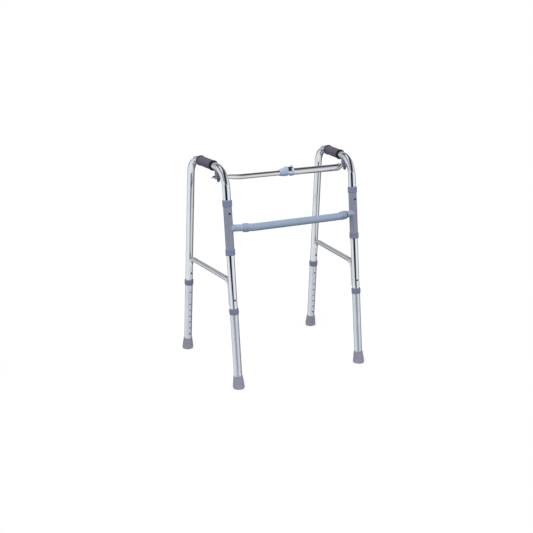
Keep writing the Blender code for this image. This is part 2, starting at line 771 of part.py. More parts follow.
def build_lock(side):
    """Build the catch, the sliding release sleeve and its coil spring on the outer half."""
    middle = Vector((0, side.pivot.y, side.pivot.z)) - LEG_UP * UPPER_FALL
    right = Vector((1, 0, 0))
    frame = frame_at(middle, LEG_UP, right)
    count = TUBE_SIDES
    bore = OUTER_BORE / 2
    nose = bore + NOSE_WALL
    slide = nose + FIT_GAP
    coil_radius = (nose + FIT_GAP + COIL_WIRE / 2) / math.cos(math.pi / COIL_STEPS)
    shoulder = coil_radius + COIL_WIRE / 2
    shoulder_start = LOCK_END - SHOULDER_LENGTH
    nose_start = LOCK_START + LOCK_LIP + LOCK_TRAVEL + FIT_GAP
    ear_end = EAR_START + EAR_LENGTH

    ear = OUTER_D / 2 + FIT_GAP + EAR_WALL
    rings = []
    for along, grow in ((EAR_START, 1.0), (ear_end, 0.9)):
        spot = middle + right * along
        rings.append(oval(spot, FORWARD, LEG_UP, ear, ear, ear + EAR_RISE * grow, count))
    catch = loft("lock_catch", rings)
    root = EAR_START + EAR_LENGTH / 2
    outline = [(0, root), (nose, root), (nose, LOCK_END), (shoulder, LOCK_END)]
    outline += [(shoulder, shoulder_start), (nose, shoulder_start), (nose, nose_start), (0, nose_start)]
    combine(catch, spin("lock_nose", outline, frame, count, cutters), "UNION")
    low = (bore * 0.8, -WEB_HALF, WEB_START)
    high = (WEB_TOP, WEB_HALF, root)
    combine(catch, slab("lock_web", frame, low, high, cutters), "UNION")
    seat = OUTER_MOUTH - FIT_GAP
    wide = OUTER_D / 2 + FIT_GAP
    past = ear_end + LOCK_LIP
    ahead = nose_start - LOCK_LIP
    outline = [(0, past), (wide, past), (wide, seat), (bore, seat), (bore, ahead), (0, ahead)]
    combine(catch, spin("lock_catch_bore", outline, frame, BORE_SIDES, cutters))
    finish(catch, PALE_PLASTIC, side.pivot)

    small = slide + LOCK_WALL
    pocket = (shoulder + FIT_GAP) / math.cos(math.pi / BORE_SIDES)
    big = pocket + LOCK_WALL
    lip = LOCK_START + LOCK_LIP
    start = LOCK_END - COIL_POCKET
    stations = [(LOCK_START, bore + LOCK_WALL, 0), (lip, small, 0.08)]
    stations += [(start, big, 0.25), (LOCK_END, big, 1.0)]
    rings = []
    for along, reach, share in stations:
        spot = middle + right * along
        rings.append(oval(spot, FORWARD, LEG_UP, reach, reach, reach + LOCK_RISE * share, count))
    sleeve = loft("lock_sleeve", rings)
    past = LOCK_END + LOCK_LIP
    ahead = LOCK_START - LOCK_LIP
    outline = [(0, past), (pocket, past), (pocket, start), (slide, start), (slide, lip)]
    outline += [(bore, lip), (bore, ahead), (0, ahead)]
    combine(sleeve, spin("lock_sleeve_bore", outline, frame, BORE_SIDES, cutters))
    finish(sleeve, PALE_PLASTIC, middle)

    begin = start + FIT_GAP + COIL_WIRE / 2
    length = shoulder_start - begin - FIT_GAP - COIL_WIRE / 2
    path = []
    steps = COIL_TURNS * COIL_STEPS
    for i in range(steps + 1):
        turn = math.tau * COIL_TURNS * i / steps
        spot = middle + right * (begin + length * i / steps)
        path.append(spot + (FORWARD * math.cos(turn) + LEG_UP * math.sin(turn)) * coil_radius)
    coil = pipe("lock_spring", path, COIL_WIRE * 0.94, None, 6)
    finish(coil, DARK_STEEL, middle)


LEFT = Side("left", -1)
RIGHT = Side("right", 1)

for each in (LEFT, RIGHT):
    build_side_frame(each)
    for leg_name, floor_point, leg_up, leg_inner, leg_front in each.legs():
        build_leg(leg_name, floor_point, leg_up, leg_inner)
    build_pivot(each)

build_cross_bar(build_sleeve(LEFT), build_sleeve(RIGHT))

inner_reach = OUTER_MOUTH + OVERLAP - LEFT.pivot.x
outer_reach = RIGHT.pivot.x - OUTER_MOUTH
shift = INNER_FORWARD
bar_half("upper_bar_inner", LEFT, INNER_D, INNER_WALL, inner_reach, shift, TUBE_SIDES, INNER_BLEND)
bar_half("upper_bar_outer", RIGHT, OUTER_D, OUTER_WALL, outer_reach, 0.0, BORE_SIDES, OUTER_BLEND)
build_lock(RIGHT)

for helper in cutters.objects:
    helper.hide_render = True
    helper.display_type = "WIRE"
    helper.hide_viewport = True
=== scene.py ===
"""Looks of a folding walking frame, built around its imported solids."""

import json
import logging
import math
from dataclasses import dataclass, field, replace
from enum import Enum
from functools import reduce

import bmesh
import bpy
from mathutils import Matrix, Vector

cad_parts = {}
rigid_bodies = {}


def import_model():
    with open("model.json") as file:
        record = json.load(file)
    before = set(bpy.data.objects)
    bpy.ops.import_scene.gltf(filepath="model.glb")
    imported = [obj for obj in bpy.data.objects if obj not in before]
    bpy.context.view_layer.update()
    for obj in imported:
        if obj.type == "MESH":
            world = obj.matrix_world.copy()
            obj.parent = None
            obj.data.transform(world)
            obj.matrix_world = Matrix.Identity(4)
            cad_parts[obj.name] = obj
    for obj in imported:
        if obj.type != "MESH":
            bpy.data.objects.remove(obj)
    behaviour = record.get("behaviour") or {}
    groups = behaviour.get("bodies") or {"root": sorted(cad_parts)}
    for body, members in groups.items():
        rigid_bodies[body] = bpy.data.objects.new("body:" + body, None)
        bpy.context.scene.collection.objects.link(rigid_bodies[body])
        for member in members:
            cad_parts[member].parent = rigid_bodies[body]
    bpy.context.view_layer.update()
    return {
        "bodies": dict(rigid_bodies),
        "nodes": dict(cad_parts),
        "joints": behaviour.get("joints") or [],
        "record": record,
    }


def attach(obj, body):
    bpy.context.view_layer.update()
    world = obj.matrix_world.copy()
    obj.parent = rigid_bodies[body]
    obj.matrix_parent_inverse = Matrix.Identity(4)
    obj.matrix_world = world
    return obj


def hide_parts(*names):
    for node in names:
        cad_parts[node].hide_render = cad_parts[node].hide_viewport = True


LOG = logging.getLogger("walking_frame")
# A millimetre, what counts as one point and how far cutters run past, in metres.
MM = 0.001
MERGE = 0.000001
PAST = 0.010
# Segments of round forms, and steps of a rounded edge.
TINY, SMALL, MIDDLE, ROUND, FINE = 32, 40, 48, 64, 72
EDGE_STEPS = 2
SHARP = math.radians(38.0)
# Keeps the cross direction of a sweep from vanishing.
NUDGE = Vector((0.0, 0.0, 0.013))
# Sockets of a colour mix: share, both colours, and the result.
MIX_IN = (0, 6, 7)
MIX_OUT = 2
# Noise and edge ranges of the finishes, some with what they map to.
CLOUDS = (0.35, 0.68)
SMUDGES = (0.3, 0.7)
WORN_EDGE = (0.515, 0.60)
RUBBED = (0.42, 0.62, 0.15, 1.0)
DUSTY = (0.35, 0.65, 0.2, 1.0)
LEAST_ROUGH = 0.02
WHITE = (1.0, 1.0, 1.0, 1.0)
Profile = list[tuple[float, float]]
Table = tuple[tuple[float, float], ...]
Tone = tuple[int, int, int]
Colour = tuple[float, float, float, float]
Socket = bpy.types.NodeSocket
Edge = bmesh.types.BMEdge
Vert = bmesh.types.BMVert


class Handed(Enum):
    """The two sides of the frame, seen from its front."""

    LEFT = -1
    RIGHT = 1

    @property
    def word(self) -> str:
        """Give the side's name as pieces and bodies use it."""
        return self.name.lower()


def linear(tone: Tone) -> Colour:
    """Turn an eight-bit display colour into a linear one.

    Args:
        tone: Red, green and blue from 0 to 255.

    Returns:
        The linear colour with full opacity.
    """
    shares = []
    for level in tone:
        share = level / 255.0
        shares.append(share / 12.92 if share <= 0.04045 else ((share + 0.055) / 1.055) ** 2.4)
    return (shares[0], shares[1], shares[2], 1.0)


def frame_at(origin: Vector, across: Vector, along: Vector) -> Matrix:
    """Make a local frame.

    Args:
        origin: Where the frame sits.
        across: A direction near the frame's X axis.
        along: The direction of the frame's Z axis.

    Returns:
        The matrix that takes local points into the part's frame.
    """
    z_axis = along.normalized()
    x_axis = (across - z_axis * across.dot(z_axis)).normalized()
    y_axis = z_axis.cross(x_axis)
    turned = Matrix((x_axis, y_axis, z_axis)).transposed().to_4x4()
    return Matrix.Translation(origin) @ turned


def offset(radius: float, height: float, table: Table) -> Profile:
    """Count a table of steps out and up, in millimetres, from a radius and a height."""
    return [(radius + out * MM, height + up * MM) for out, up in table]


def dome(radius: float, height: float, rise: float, table: Table) -> Profile:
    """Scale a table of radius and rise shares to a round head that starts at a height."""
    return [(radius * wide, height + rise * tall) for wide, tall in table]


def edges_in(geom: list) -> list[Edge]:
    """Pick the edges out of an operator's result."""
    return [each for each in geom if isinstance(each, Edge)]


def ring_of(spots: list[Vert]) -> list[Edge]:
    """Give the edges of a loose ring of vertices, in a fixed order."""
    return list(dict.fromkeys(line for spot in spots for line in spot.link_edges))


def spots_of(ring: list[Edge]) -> list[Vert]:
    """Give the vertices of a ring of edges, in a fixed order."""
    return list(dict.fromkeys(spot for line in ring for spot in line.verts))


def stand(name: str, data: bpy.types.ID) -> bpy.types.Object:
    """Put a mesh, lamp or camera into the scene.

    Args:
        name: The object's name.
        data: What the object shows.

    Returns:
        The new object.
    """
    made = bpy.data.objects.new(name, data)
    bpy.context.scene.collection.objects.link(made)
    return made


@dataclass(frozen=True)
class Clearances:
    """Gaps that the fitted pieces share, in metres."""

    fit: float = 0.0003
    turn: float = 0.0004


GAPS = Clearances()


@dataclass(frozen=True)
class Stance:
    """How the four legs stand and where the rails run, in metres and radians."""

    front_span: float = 0.5152
    rear_spread: float = 0.0267
    foot_depth: float = 0.4181
    front_lean: float = math.radians(8.23)
    rear_lean: float = math.radians(3.23)
    rail_front: float = 0.7761
    rail_rear: float = 0.7795
    front_bend: float = 0.074
    rear_bend: float = 0.066
    bend_steps: int = 28
    tube_end: float = 0.050
    tube_d: float = 0.0276
    tube_wall: float = 0.0012
    collar_top: float = 0.29375
    sleeve_below_bend: float = 0.040
    bar_drop: float = 0.099
    pivot_back: float = 0.054
    pivot_drop: float = 0.0356

    @property
    def up(self) -> Vector:
        """Give the direction up a front leg."""
        return Vector((0.0, math.sin(self.front_lean), math.cos(self.front_lean)))

    @property
    def forward(self) -> Vector:
        """Give the direction ahead, square to the front legs."""
        return Vector((0.0, -math.cos(self.front_lean), math.sin(self.front_lean)))

    @property
    def ahead(self) -> Vector:
        """Give the level direction out of the frame's front."""
        return Vector((0.0, -1.0, 0.0))


STANCE = Stance()


class NodeSheet:
    """A node tree with short ways to add and join nodes."""

    def __init__(self, tree: bpy.types.NodeTree) -> None:
        """Keep the tree that the nodes go into."""
        self.tree = tree

    def fill(self, socket: Socket, value: object) -> None:
        """Set an input to a value or link it to an output.

        Args:
            socket: The input socket.
            value: A value or an output socket.
        """
        if isinstance(value, Socket):
            self.tree.links.new(value, socket)
        else:
            socket.default_value = value

    def join(self, node: bpy.types.Node, name: str, value: object) -> None:
        """Fill the input of a node that is in use under a name."""
        self.fill(next(each for each in node.inputs if each.name == name and each.enabled), value)

    def add(self, kind: str, settings: dict | None = None, **sockets: object) -> bpy.types.Node:
        """Add a node and fill its inputs by name.

        Args:
            kind: The node's type name.
            settings: Properties of the node.
            sockets: Values or output sockets by input name, with _ for a space.

        Returns:
            The new node.
        """
        node = self.tree.nodes.new(kind)
        for name, value in (settings or {}).items():
            setattr(node, name, value)
        for name, value in sockets.items():
            self.join(node, name.replace("_", " "), value)
        return node

    def row(self, kind: str, settings: dict, *values: object) -> Socket | None:
        """Add a node and fill its inputs in order.

        Args:
            kind: The node's type name.
            settings: Properties of the node.
            values: Values or output sockets.

        Returns:
            The node's first output, or None where it has none.
        """
        node = self.add(kind, settings)
        for socket, value in zip(node.inputs, values):
            self.fill(socket, value)
        return node.outputs[0] if node.outputs else None

    def spread(self, value: Socket, low: float, high: float, to_low: float,
               to_high: float) -> Socket:
        """Map a range of values onto another one.

        Args:
            value: The socket to map.
            low: Start of the source range.
            high: End of the source range.
            to_low: Result at the start.
            to_high: Result at the end.

        Returns:
            The mapped output socket.
        """
        node = self.add("ShaderNodeMapRange", {"clamp": True}, Value=value, From_Min=low,
                        From_Max=high, To_Min=to_low, To_Max=to_high)
        return node.outputs["Result"]

    def ramp(self, value: Socket, start: float, end: float) -> Socket:
        """Rise from 0 to 1 as a value goes from a start to an end."""
        return self.spread(value, start, end, 0.0, 1.0)

    def work(self, operation: str, *values: object) -> Socket:
        """Give the result of a math node."""
        return self.row("ShaderNodeMath", {"operation": operation}, *values)

    def times(self, first: object, second: object) -> Socket:
        """Multiply two values."""
        return self.work("MULTIPLY", first, second)

    def most(self, first: object, second: object) -> Socket:
        """Give the larger of two values."""
        return self.work("MAXIMUM", first, second)

    def blend(self, share: object, base: Socket, other: Socket) -> Socket:
        """Mix two shaders."""
        return self.row("ShaderNodeMixShader", {}, share, base, other)

    def tint(self, share: object, base: object, other: object) -> Socket:
        """Mix two colours.

        Args:
            share: How much of the second colour shows.
            base: The first colour or socket.
            other: The second colour or socket.

        Returns:
            The mixed colour socket.
        """
        node = self.add("ShaderNodeMix", {"data_type": "RGBA"})
        for index, value in zip(MIX_IN, (share, base, other)):
            self.fill(node.inputs[index], value)
        return node.outputs[MIX_OUT]


@dataclass(frozen=True)
class Relief:
    """Bump of a surface: its noise scale, strength, depth and stretch along Z."""

    scale: float
    strength: float
    depth: float
    stretch: float = 1.0


class Grain(Enum):
    """Surface textures that the finishes use."""

    POLISHED = Relief(46.0, 0.03, 0.0006)
    DRAWN = Relief(1500.0, 0.06, 0.0002, 0.012)
    ENAMEL = Relief(420.0, 0.07, 0.0004)
    MOULDED = Relief(1900.0, 0.16, 0.0002)
    PEBBLED = Relief(620.0, 0.45, 0.0005)
    PLATED = Relief(950.0, 0.10, 0.0002)


@dataclass(frozen=True)
class Finish:
    """One finish of the frame, from its colour to its wear."""

    name: str
    slot: str
    tone: Tone
    shade: Tone
    roughness: float
    grain: Grain
    metallic: float = 0.0
    coat: float = 0.0
    coat_roughness: float = 0.12
    unevenness: float = 0.05
    mottle: float = 0.5
    worn: Tone = (215, 216, 220)
    wear: float = 0.0
    dust: float = 0.0
    dust_tone: Tone = (186, 182, 178)
    dust_height: float = 0.018
    lean: float = 0.0

    def material(self) -> bpy.types.Material:
        """Build the finish once and hand it out again later.

        Returns:
            The node material.
        """
        found = bpy.data.materials.get(self.name)
        if found is not None:
            return found
        made = bpy.data.materials.new(self.name)
        made.use_nodes = True
        made.diffuse_color = linear(self.tone)
        sheet = NodeSheet(made.node_tree)
        shader = made.node_tree.nodes["Principled BSDF"]
        shader.inputs["Metallic"].default_value = self.metallic
        shader.inputs["Coat Weight"].default_value = self.coat
        shader.inputs["Coat Roughness"].default_value = self.coat_roughness
        place = sheet.add("ShaderNodeTexCoord").outputs["Object"]
        cloudy = sheet.add("ShaderNodeTexNoise", Vector=place, Scale=17.0, Detail=5.0,
                           Roughness=0.62).outputs["Fac"]
        smudge = sheet.add("ShaderNodeTexNoise", Vector=place, Scale=61.0, Detail=3.0,
                           Roughness=0.55, Distortion=0.6).outputs["Fac"]
        self._colour(sheet, shader, place, cloudy, smudge)
        rough = sheet.spread(smudge, *SMUDGES, max(LEAST_ROUGH, self.roughness - self.unevenness),
                             self.roughness + self.unevenness)
        sheet.join(shader, "Roughness", rough)
        self._relief(sheet, shader, place)
        return made

    def _colour(self, sheet: NodeSheet, shader: bpy.types.Node, place: Socket, cloudy: Socket,
                smudge: Socket) -> None:
        """Join the base colour with its mottling, edge wear and dust.

        Args:
            sheet: The node tree in the making.
            shader: The surface shader.
            place: Object coordinates.
            cloudy: Broad noise.
            smudge: Finer noise.
        """
        share = sheet.spread(cloudy, *CLOUDS, 0.0, self.mottle)
        colour = sheet.tint(share, linear(self.tone), linear(self.shade))
        if self.wear > 0.0:
            edge = sheet.add("ShaderNodeNewGeometry").outputs["Pointiness"]
            rubbed = sheet.times(sheet.spread(edge, *WORN_EDGE, 0.0, self.wear),
                                 sheet.spread(smudge, *RUBBED))
            colour = sheet.tint(rubbed, colour, linear(self.worn))
        if self.dust > 0.0:
            split = sheet.add("ShaderNodeSeparateXYZ", Vector=place)
            low = sheet.spread(split.outputs["Z"], 0.0, self.dust_height, self.dust, 0.0)
            dusty = sheet.times(low, sheet.spread(smudge, *DUSTY))
            colour = sheet.tint(dusty, colour, linear(self.dust_tone))
        sheet.join(shader, "Base Color", colour)

    def _relief(self, sheet: NodeSheet, shader: bpy.types.Node, place: Socket) -> None:
        """Join the bump of the finish's grain.

        Args:
            sheet: The node tree in the making.
            shader: The surface shader.
            place: Object coordinates.
        """
        relief = self.grain.value
        turned = sheet.add("ShaderNodeMapping", Vector=place, Rotation=(-self.lean, 0.0, 0.0),
                           Scale=(1.0, 1.0, relief.stretch)).outputs[0]
        if self.grain is Grain.PEBBLED:
            cells = sheet.add("ShaderNodeTexVoronoi", {"feature": "SMOOTH_F1"}, Vector=turned,
                              Scale=relief.scale, Smoothness=0.6)
            height = cells.outputs["Distance"]
        else:
            noise = sheet.add("ShaderNodeTexNoise", Vector=turned, Scale=relief.scale, Detail=3.0)
            height = noise.outputs["Fac"]
        bump = sheet.add("ShaderNodeBump", Height=height, Strength=relief.strength,
                         Distance=relief.depth)
        sheet.join(shader, "Normal", bump.outputs["Normal"])


POLISHED_TUBE = Finish("polished_tube", "polished_aluminium", (226, 229, 234), (214, 218, 226),
                       0.085, Grain.POLISHED, metallic=1.0, unevenness=0.03)
CHROME_BAR = replace(POLISHED_TUBE, name="chrome_bar", slot="chrome", tone=(226, 226, 230),
                     shade=(214, 213, 218), roughness=0.075)
CHROME_BRACE = replace(CHROME_BAR, name="chrome_brace", tone=(222, 224, 228),
                       shade=(208, 210, 215), roughness=0.10)
LUG_STEEL = Finish("pressed_lug", "chrome", (208, 217, 220), (194, 203, 208), 0.26, Grain.PLATED,
                   metallic=1.0)
SATIN_FRONT = Finish("satin_front_leg", "satin_aluminium", (217, 222, 231), (203, 208, 218), 0.34,
                     Grain.DRAWN, metallic=1.0, lean=STANCE.front_lean)
SATIN_REAR = replace(SATIN_FRONT, name="satin_rear_leg", lean=-STANCE.rear_lean)
# Painted shade: dark discs in this finish sit behind the height holes and stand in for the shadow
# inside them.
HOLE_SHADE = Finish("hole_shade", "satin_aluminium", (142, 141, 156), (130, 129, 144), 0.60,
                    Grain.PLATED, metallic=0.3)
BAR_ENAMEL = Finish("cross_bar_enamel", "blue_grey_enamel", (140, 157, 180), (132, 148, 172), 0.34,
                    Grain.ENAMEL, coat=0.80, wear=0.25)
SLEEVE_ENAMEL = Finish("sleeve_coat", "sleeve_enamel", (130, 136, 154), (122, 127, 146), 0.42,
                       Grain.ENAMEL, coat=0.2, wear=0.3)
FITTING_PLASTIC = Finish("fitting_plastic", "blue_grey_plastic", (118, 127, 158), (110, 118, 150),
                         0.46, Grain.MOULDED, wear=0.35, worn=(158, 164, 192))
COLLAR_PLASTIC = replace(FITTING_PLASTIC, name="collar_plastic", tone=(117, 121, 147),
                         shade=(109, 112, 139), worn=(156, 160, 184))
BLOCK_PLASTIC = replace(FITTING_PLASTIC, name="block_plastic", tone=(112, 117, 134),
                        shade=(102, 106, 124), worn=(150, 155, 172))
RING_PLASTIC = replace(FITTING_PLASTIC, name="ring_plastic", tone=(136, 148, 174),
                       shade=(127, 138, 166), worn=(172, 182, 204), roughness=0.42)
LATCH_PLASTIC = Finish("latch_plastic", "pale_blue_plastic", (153, 169, 193), (145, 160, 185),
                       0.36, Grain.MOULDED, coat=0.4, wear=0.4, worn=(206, 216, 240))
CATCH_PLASTIC = Finish("catch_plastic", "pale_blue_plastic", (184, 187, 212), (173, 177, 203),
                       0.42, Grain.MOULDED, wear=0.4, worn=(206, 212, 236))
# Painted shade: the latch web is near-black so that it stands in for the shadow between the hood
# and the ear.
WEB_SHADE_PLASTIC = Finish("tongue_plastic", "pale_blue_plastic", (46, 52, 62), (38, 43, 52), 0.5,
                        Grain.MOULDED, wear=0.2, worn=(90, 96, 108))
FOOT_RUBBER = Finish("foot_rubber", "grey_rubber", (150, 149, 167), (140, 138, 156), 0.72,
                     Grain.PEBBLED, wear=0.2, worn=(176, 174, 184), dust=0.6)
GRIP_RUBBER = Finish("grip_skin", "grip_rubber", (88, 80, 99), (78, 70, 90), 0.62, Grain.PEBBLED,
                     wear=0.25, worn=(120, 114, 130))
STOP_RUBBER = Finish("stop_rubber", "grip_rubber", (62, 57, 66), (52, 48, 56), 0.66, Grain.PEBBLED)
# Painted shade: this near-black rubber on the grip flanges and on the ring at the right stub stands
# in for the shadow on their faces.
PAINTED_SHADE_RUBBER = Finish("gasket_rubber", "grip_rubber", (34, 31, 37), (26, 24, 29), 0.55,
                       Grain.MOULDED)
NUT_STEEL = Finish("nut_plate", "zinc_steel", (100, 94, 107), (88, 83, 95), 0.40, Grain.PLATED,
                   metallic=0.1, wear=0.3, worn=(150, 148, 156))
DARK_STEEL = Finish("blackened_steel", "dark_steel", (38, 37, 42), (29, 28, 32), 0.42,
                    Grain.PLATED, metallic=0.2, wear=0.2, worn=(96, 96, 102))
ZINC_STEEL = Finish("zinc_plate", "zinc_steel", (158, 158, 166), (140, 139, 146), 0.36,
                    Grain.PLATED, metallic=1.0, wear=0.3)


@dataclass(frozen=True)
class Station:
    """One ring of a lofted form, seen along its axis."""

    along: float
    half: float
    low: float
    high: float
    shift: float = 0.0
    power: float = 2.0
    lift: float = 0.0


class Workpiece:
    """A mesh in the making, shaped with bmesh operators and then dressed."""

    def __init__(self, name: str) -> None:
        """Start an empty piece with its name."""
        self.name = name
        self.mesh = bmesh.new()

    def take(self, work: bmesh.types.BMesh) -> "Workpiece":
        """Close and turn out a finished shell and add it to the piece.

        Args:
            work: The shell, which is used up.

        Returns:
            The piece itself.
        """
        bmesh.ops.remove_doubles(work, verts=work.verts, dist=MERGE)
        bmesh.ops.recalc_face_normals(work, faces=work.faces)
        shell = bpy.data.meshes.new("shell")
        work.to_mesh(shell)
        work.free()
        self.mesh.from_mesh(shell)
        bpy.data.meshes.remove(shell)
        return self

    def turn(self, profile: Profile, frame: Matrix, segments: int = ROUND) -> "Workpiece":
        """Spin a profile about a frame's Z axis.

        Args:
            profile: Radius and height of each point, open if it starts on the axis.
            frame: The frame that the form stands in.
            segments: Steps of the full turn.

        Returns:
            The piece itself.
        """
        work = bmesh.new()
        spots = [work.verts.new((radius, 0.0, height)) for radius, height in profile]
        lines = [work.edges.new(pair) for pair in zip(spots, spots[1:])]
        if profile[0][0] > 0.0:
            lines.append(work.edges.new((spots[-1], spots[0])))
        bmesh.ops.spin(work, geom=spots + lines, cent=(0.0, 0.0, 0.0), axis=(0.0, 0.0, 1.0),
                       dvec=(0.0, 0.0, 0.0), angle=math.tau, steps=segments, use_merge=True,
                       use_duplicate=False)
        bmesh.ops.transform(work, matrix=frame, verts=work.verts)
        return self.take(work)

    def rod(self, radius: float, low: float, high: float, frame: Matrix,
            segments: int = ROUND) -> "Workpiece":
        """Turn a round bar between two places on a frame's Z axis."""
        return self.turn([(0.0, high), (radius, high), (radius, low), (0.0, low)], frame, segments)

    def bore(self, radius: float, low: float, high: float, frame: Matrix,
             segments: int = ROUND) -> "Workpiece":
        """Cut a round bore between two places on a frame's Z axis."""
        return self.shape(Workpiece("bore").rod(radius, low, high, frame, segments))

    def sweep(self, corners: list[Vector], bends: list[float], outer: float, bore: float,
              steps: int, segments: int = ROUND) -> "Workpiece":
        """Draw a tube along straight runs joined by round bends.

        Args:
            corners: The ends and the sharp corners of the path.
            bends: Bend radius at each inner corner.
            outer: Radius of the tube.
            bore: Radius of its bore.
            steps: Rings in each bend.
            segments: Points around the tube.

        Returns:
            The piece itself.
        """
        work = bmesh.new()
        begins: list[Edge] = []
        finals: list[Edge] = []
        first = corners[1] - corners[0]
        side = first.cross(corners[-1] - corners[0] + NUDGE)
        for radius in (outer, bore):
            made = bmesh.ops.create_circle(work, cap_ends=False, segments=segments, radius=radius,
                                           matrix=frame_at(corners[0], side, first))
            ring = ring_of(made["verts"])
            begins += ring
            here = corners[0]
            for before, corner, after, bend in zip(corners, corners[1:], corners[2:], bends):
                back = (before - corner).normalized()
                ahead = (after - corner).normalized()
                angle = back.angle(ahead)
                reach = bend / math.tan(angle / 2)
                centre = corner + (back + ahead).normalized() * (bend / math.sin(angle / 2))
                ring = self._draw(work, ring, corner + back * reach - here)
                turned = bmesh.ops.spin(work, geom=spots_of(ring) + ring, cent=centre,
                                        axis=ahead.cross(back).normalized(), dvec=(0.0, 0.0, 0.0),
                                        angle=math.pi - angle, steps=steps, use_merge=False,
                                        use_duplicate=False)
                ring = edges_in(turned["geom_last"])
                here = corner + ahead * reach
            finals += self._draw(work, ring, corners[-1] - here)
        bmesh.ops.bridge_loops(work, edges=begins)
        bmesh.ops.bridge_loops(work, edges=finals)
        return self.take(work)

    @staticmethod
    def _draw(work: bmesh.types.BMesh, ring: list[Edge], run: Vector) -> list[Edge]:
        """Pull a ring along a straight run.

        Args:
            work: The shell in the making.
            ring: The edges to pull.
            run: How far they go.

        Returns:
            The edges of the new ring.
        """
        made = bmesh.ops.extrude_edge_only(work, edges=ring)["geom"]
        bmesh.ops.translate(work, vec=run, verts=[each for each in made if isinstance(each, Vert)])
        return [line for line in edges_in(made) if len(line.link_faces) == 1]

    def loft(self, stations: list[Station], frame: Matrix, segments: int = ROUND) -> "Workpiece":
        """Draw a closed form through rings of changing section.

        Args:
            stations: The rings from one end to the other.
            frame: X is the rings' width, Y their height and Z the way along.
            segments: Points around each ring.

        Returns:
            The piece itself.
        """
        work = bmesh.new()
        turn = work.verts.layers.float.new("turn")
        made = bmesh.ops.create_circle(work, cap_ends=False, segments=segments, radius=1.0)
        for spot in made["verts"]:
            spot[turn] = math.atan2(spot.co.y, spot.co.x)
        ring = ring_of(made["verts"])
        for count, station in enumerate(stations):
            if count:
                ring = self._draw(work, ring, Vector((0.0, 0.0, MM)))
            curve = 2.0 / station.power
            for spot in spots_of(ring):
                wide = math.cos(spot[turn])
                tall = math.sin(spot[turn])
                reach = station.high if tall > 0.0 else station.low
                spot.co = (station.shift + math.copysign(abs(wide) ** curve, wide) * station.half,
                           station.lift + math.copysign(abs(tall) ** curve, tall) * reach,
                           station.along)
            if count in (0, len(stations) - 1):
                bmesh.ops.edgeloop_fill(work, edges=ring)
        work.verts.layers.float.remove(turn)
        bmesh.ops.transform(work, matrix=frame, verts=work.verts)
        return self.take(work)

    def bar(self, sides: int, radius: float, low: float, high: float,
            frame: Matrix) -> "Workpiece":
        """Draw a straight bar with a many-sided section.

        Args:
            sides: Corners of the section.
            radius: Distance of the corners from the axis.
            low: Where the bar starts on the axis.
            high: Where it ends.
            frame: The frame that the bar stands in.

        Returns:
            The piece itself.
        """
        work = bmesh.new()
        made = bmesh.ops.create_cone(work, cap_ends=True, segments=sides, radius1=radius,
                                     radius2=radius, depth=high - low)
        bmesh.ops.translate(work, vec=(0.0, 0.0, (high + low) / 2), verts=made["verts"])
        bmesh.ops.transform(work, matrix=frame, verts=work.verts)
        return self.take(work)

    def shape(self, tool: "Workpiece", operation: str = "DIFFERENCE") -> "Workpiece":
        """Cut or join the piece with another one, which is used up.

        Args:
            tool: The other piece.
            operation: A Boolean modifier's operation.

        Returns:
            The piece itself.
        """
        holders = []
        for each in (self, tool):
            mesh = bpy.data.meshes.new(each.name + "_solid")
            each.mesh.to_mesh(mesh)
            each.mesh.free()
            holders.append(stand(mesh.name, mesh))
        edit = holders[0].modifiers.new("shape", "BOOLEAN")
        edit.operation = operation
        edit.solver = "EXACT"
        edit.object = holders[1]
        view = bpy.context.evaluated_depsgraph_get()
        view.update()
        result = bpy.data.meshes.new_from_object(holders[0].evaluated_get(view))
        self.mesh = bmesh.new()
        self.mesh.from_mesh(result)
        bmesh.ops.remove_doubles(self.mesh, verts=self.mesh.verts, dist=MERGE)
        for holder in holders:
            mesh = holder.data
            bpy.data.objects.remove(holder, do_unlink=True)
            bpy.data.meshes.remove(mesh)
        bpy.data.meshes.remove(result)
        return self

    def soften(self, width: float, angle: float) -> "Workpiece":
        """Round every edge that is sharper than an angle.

        Args:
            width: Offset of the rounding.
            angle: Least angle between the faces, in radians.

        Returns:
            The piece itself.
        """
        sharp = [line for line in self.mesh.edges
                 if line.is_manifold and line.calc_face_angle() > angle]
        bmesh.ops.bevel(self.mesh, geom=sharp, offset=width, offset_type="OFFSET", affect="EDGES",
                        segments=EDGE_STEPS, profile=0.5, clamp_overlap=True, material=-1)
        bmesh.ops.remove_doubles(self.mesh, verts=self.mesh.verts, dist=MERGE)
        return self

    def done(self, finish: Finish, body: str, *nodes: str) -> None:
        """Turn the piece into an object, dress it and let it ride.

        Args:
            finish: What the surface is made of.
            body: The body that carries the piece.
            nodes: The solids that it stands for.
        """
        for face in self.mesh.faces:
            face.smooth = True
        mesh = bpy.data.meshes.new(self.name)
        self.mesh.to_mesh(mesh)
        self.mesh.free()
        mesh.set_sharp_from_angle(angle=SHARP)
        mesh.materials.append(finish.material())
        made = stand(self.name, mesh)
        even = made.modifiers.new("even_normals", "WEIGHTED_NORMAL")
        even.keep_sharp = True
        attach(made, body)
        if nodes:
            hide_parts(*nodes)
        LOG.info("%s rides on %s, %d faces", self.name, body, len(mesh.polygons))


